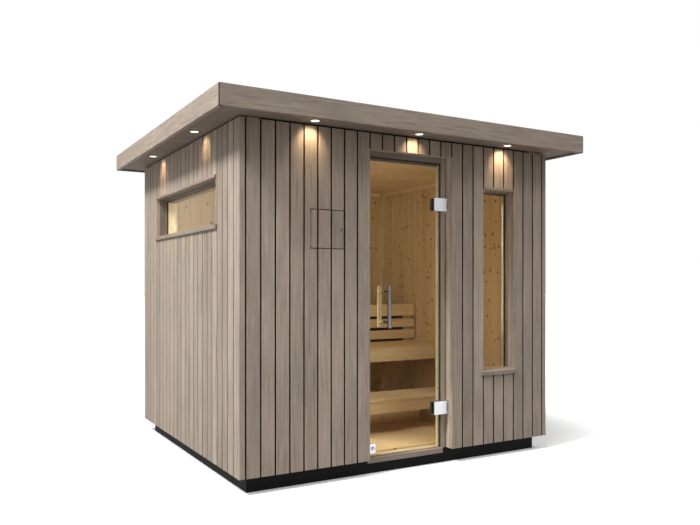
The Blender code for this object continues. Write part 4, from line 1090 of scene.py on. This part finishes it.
def key_gap(wire):
    """The dark ring around the key cylinder, in the middle of the plate."""
    place = wire.node("TexCoord", output="Object")
    across = place.axis("X") - (lock_low.x + lock_high.x) / 2
    along = place.axis("Z") - (lock_low.z + lock_high.z) / 2
    away = (across * across + along * along) ** 0.5
    inside = away.rise(KEY_RADIUS - 0.0003, KEY_RADIUS + 0.0003)
    return inside * (1 - away.rise(KEY_RING - 0.0003, KEY_RING + 0.0003))


lock_steel = steel("lock_steel", "X", light=0.56, rough=0.3, dark_at=key_gap,
                   dark=(0.02, 0.02, 0.025, 1))
dress("door_corner_lock", lock_steel)
soften("door_corner_lock", 0.0005)


# Service hatch: the same boards sawn out of the cladding and fixed to a hinged leaf, so
# that only its narrow joint and a small cam lock show.
HATCH_JOINT = 0.0055
HATCH_LEAF = 0.020
HATCH_TONES = (0.45, 0.7, 0.3)
hatch_low, hatch_high = HATCH[0] + HATCH_JOINT, HATCH[1] - HATCH_JOINT
hatch_foot, hatch_head = HATCH_HEIGHTS[0] + HATCH_JOINT, HATCH_HEIGHTS[1] - HATCH_JOINT
cuts = [hatch_low - HALF_HAIRLINE, front_joints[5], front_joints[6], hatch_high + HALF_HAIRLINE]
form = new_form()
for n, tone in enumerate(HATCH_TONES):
    clad_board(form, "front", cuts[n], cuts[n + 1], (n == 0, n == 2), (hatch_foot, hatch_head),
               tone, HATCH_LEAF)
new_piece("hatch_boards", form, clad_finishes, "painted_boards", "hatch", "service_hatch")
dress("hatch_hinge", reveal_paint)

CAM = ((0.0, 0.004), (0.009, 0.004), (0.009, -0.0010), (0.0085, -0.0015), (0.0, -0.0015))
CAM_INSET = 0.017
KNUCKLE_RADIUS = 0.0022
KNUCKLE_PLAY = 0.0006
LEAF_END = 0.012
leaf_third = (hatch_head - hatch_foot - 2 * LEAF_END) / 3
knuckle_foot = hatch_foot + LEAF_END + leaf_third + KNUCKLE_PLAY
knuckle = leaf_third - 2 * KNUCKLE_PLAY
rod = ((0.0, 0.0), (KNUCKLE_RADIUS, 0.0), (KNUCKLE_RADIUS, knuckle), (0.0, knuckle))
form = bmesh.new()
lock_at = wall_place("front", hatch_high - CAM_INSET, 0.0, sum(HATCH_HEIGHTS) / 2)
turned(form, lock_at, (0, 1, 0), CAM, sides=32)
cam_faces = len(form.faces)
pin_at = wall_place("front", HATCH[0] + HATCH_JOINT / 2, 0.0, knuckle_foot)
turned(form, pin_at, (0, 0, 1), rod, sides=16)
for number, face in enumerate(form.faces):
    face.material_index = int(number >= cam_faces)
cam_steel = steel("hatch_steel", "Z", light=0.085, rough=0.5, cast=(1.0, 0.92, 0.78))
smooth(new_piece("hatch_fittings", form, [cam_steel, reveal_paint], "steel", "hatch"), crease=40)


# Benches: aspen slats on bearers and legs, every edge rounded because it is sat on, with a
# board under the front slat. The slats are screwed from below, so no screw gets hot.
SLAT = 0.022
SLAT_EASED = 0.0035
SLAT_GAP = 0.012
NOSE = 0.003
APRON = 0.104
BEARER = 0.070
BEARER_HALF = 0.0225
LEG_FROM_END = 0.370
LEG_HALF = 0.0245
LEG_TOP = 0.050
LEG_BACK = (0.095, 0.050)
bench_aspen = aspen("bench_aspen", "X")
# Legs and posts are coloured darker than the slats, as painted shade under the benches and behind
# the backrest.
shaded_leg_aspen = aspen("shaded_leg_aspen", "Z", light=0.60)
bearer_aspen = aspen("bearer_aspen", "Y", light=0.95)


def build_bench(name, front, back, top, slats, seed):
    """A bench, from its front and back edges and the height of its top."""
    dice = random.Random(seed)
    form = new_form()
    low = top - SLAT
    under = low - LAYER_GAP
    planed(form, (room_left, front, top - APRON), (room_right, front + SLAT, under),
           dice.random(), SLAT_EASED, 3)
    for middle in (room_left + LEG_FROM_END, 0.0, room_right - LEG_FROM_END):
        planed(form, (middle - BEARER_HALF, front + SLAT + LAYER_GAP, low - BEARER),
               (middle + BEARER_HALF, back - 0.001, under), dice.random(), 0.0015, 3, finish=2)
        planed(form, (middle - LEG_HALF, back - LEG_BACK[0], room_floor),
               (middle + LEG_HALF, back - LEG_BACK[1], low - LEG_TOP), dice.random(), 0.002, 3,
               finish=1)
    first = front - NOSE
    pitch = (back - first + SLAT_GAP) / slats
    for number in range(slats):
        start = first + number * pitch
        planed(form, (room_left, start, low), (room_right, start + pitch - SLAT_GAP, top),
               dice.random(), SLAT_EASED, 3)
    finishes = [bench_aspen, shaded_leg_aspen, bearer_aspen]
    new_piece(f"{name}_slats", form, finishes, "aspen", "cabin", name)


UPPER_BACK = 1.4667
UPPER_TOP = 0.715
build_bench("lower_bench", 0.547 - DEPTH / 2, 0.896 - DEPTH / 2, 0.375, 3, 31)
build_bench("upper_bench", 0.870 - DEPTH / 2, UPPER_BACK - DEPTH / 2, UPPER_TOP, 5, 32)


# Backrest: three aspen slats on posts behind the upper bench, with a nearly black board
# behind the gaps, which paints the shade seen through them.
REST_SLATS = (0.0765, 0.0765, 0.106)
REST_GAP = 0.0245
REST_LIFT = 0.022
REST_END = 0.0197
POST_FROM_END = 0.0605
POST_HALF = 0.0425
DARK_FOOT = 0.685
DARK_THICKNESS = 0.0115
DARK_BELOW_TOP = 0.030


def shade_board_finish():
    """A board coloured nearly black, with a little of its grain left: painted shade behind the
    slats.
    """
    made, wire = new_finish("painted_shade_board")
    grain = noise(wire, along_grain(wire, "X", 20), 90)
    colour = grain.tint((0.020, 0.012, 0.007, 1), (0.035, 0.022, 0.013, 1))
    return close_finish(made, wire, colour, 0.7)


post_front = UPPER_BACK + LAYER_GAP - DEPTH / 2
post_back = post_front + SLAT
rest_left, rest_right = room_left + REST_END, room_right - REST_END
level = UPPER_TOP + REST_LIFT
levels = []
for height in REST_SLATS:
    levels.append((level, level + height))
    level += height + REST_GAP
rest_top = levels[-1][1]
form = new_form()
planed(form, (rest_left, post_back + HALF_HAIRLINE, DARK_FOOT),
       (rest_right, post_back + HALF_HAIRLINE + DARK_THICKNESS, rest_top - DARK_BELOW_TOP),
       0.5, 0.001, 3, finish=2)
for middle in (rest_left + POST_FROM_END, 0.0, rest_right - POST_FROM_END):
    planed(form, (middle - POST_HALF, post_front, room_floor),
           (middle + POST_HALF, post_back, rest_top), 0.4, 0.002, 3, finish=1)
for number, (foot, head) in enumerate(levels):
    planed(form, (rest_left, post_front - SLAT, foot),
           (rest_right, post_front - HALF_HAIRLINE, head), 0.3 + 0.3 * number, SLAT_EASED, 3)
new_piece("backrest_slats", form, [bench_aspen, shaded_leg_aspen, shade_board_finish()], "aspen", "cabin",
          "backrest")
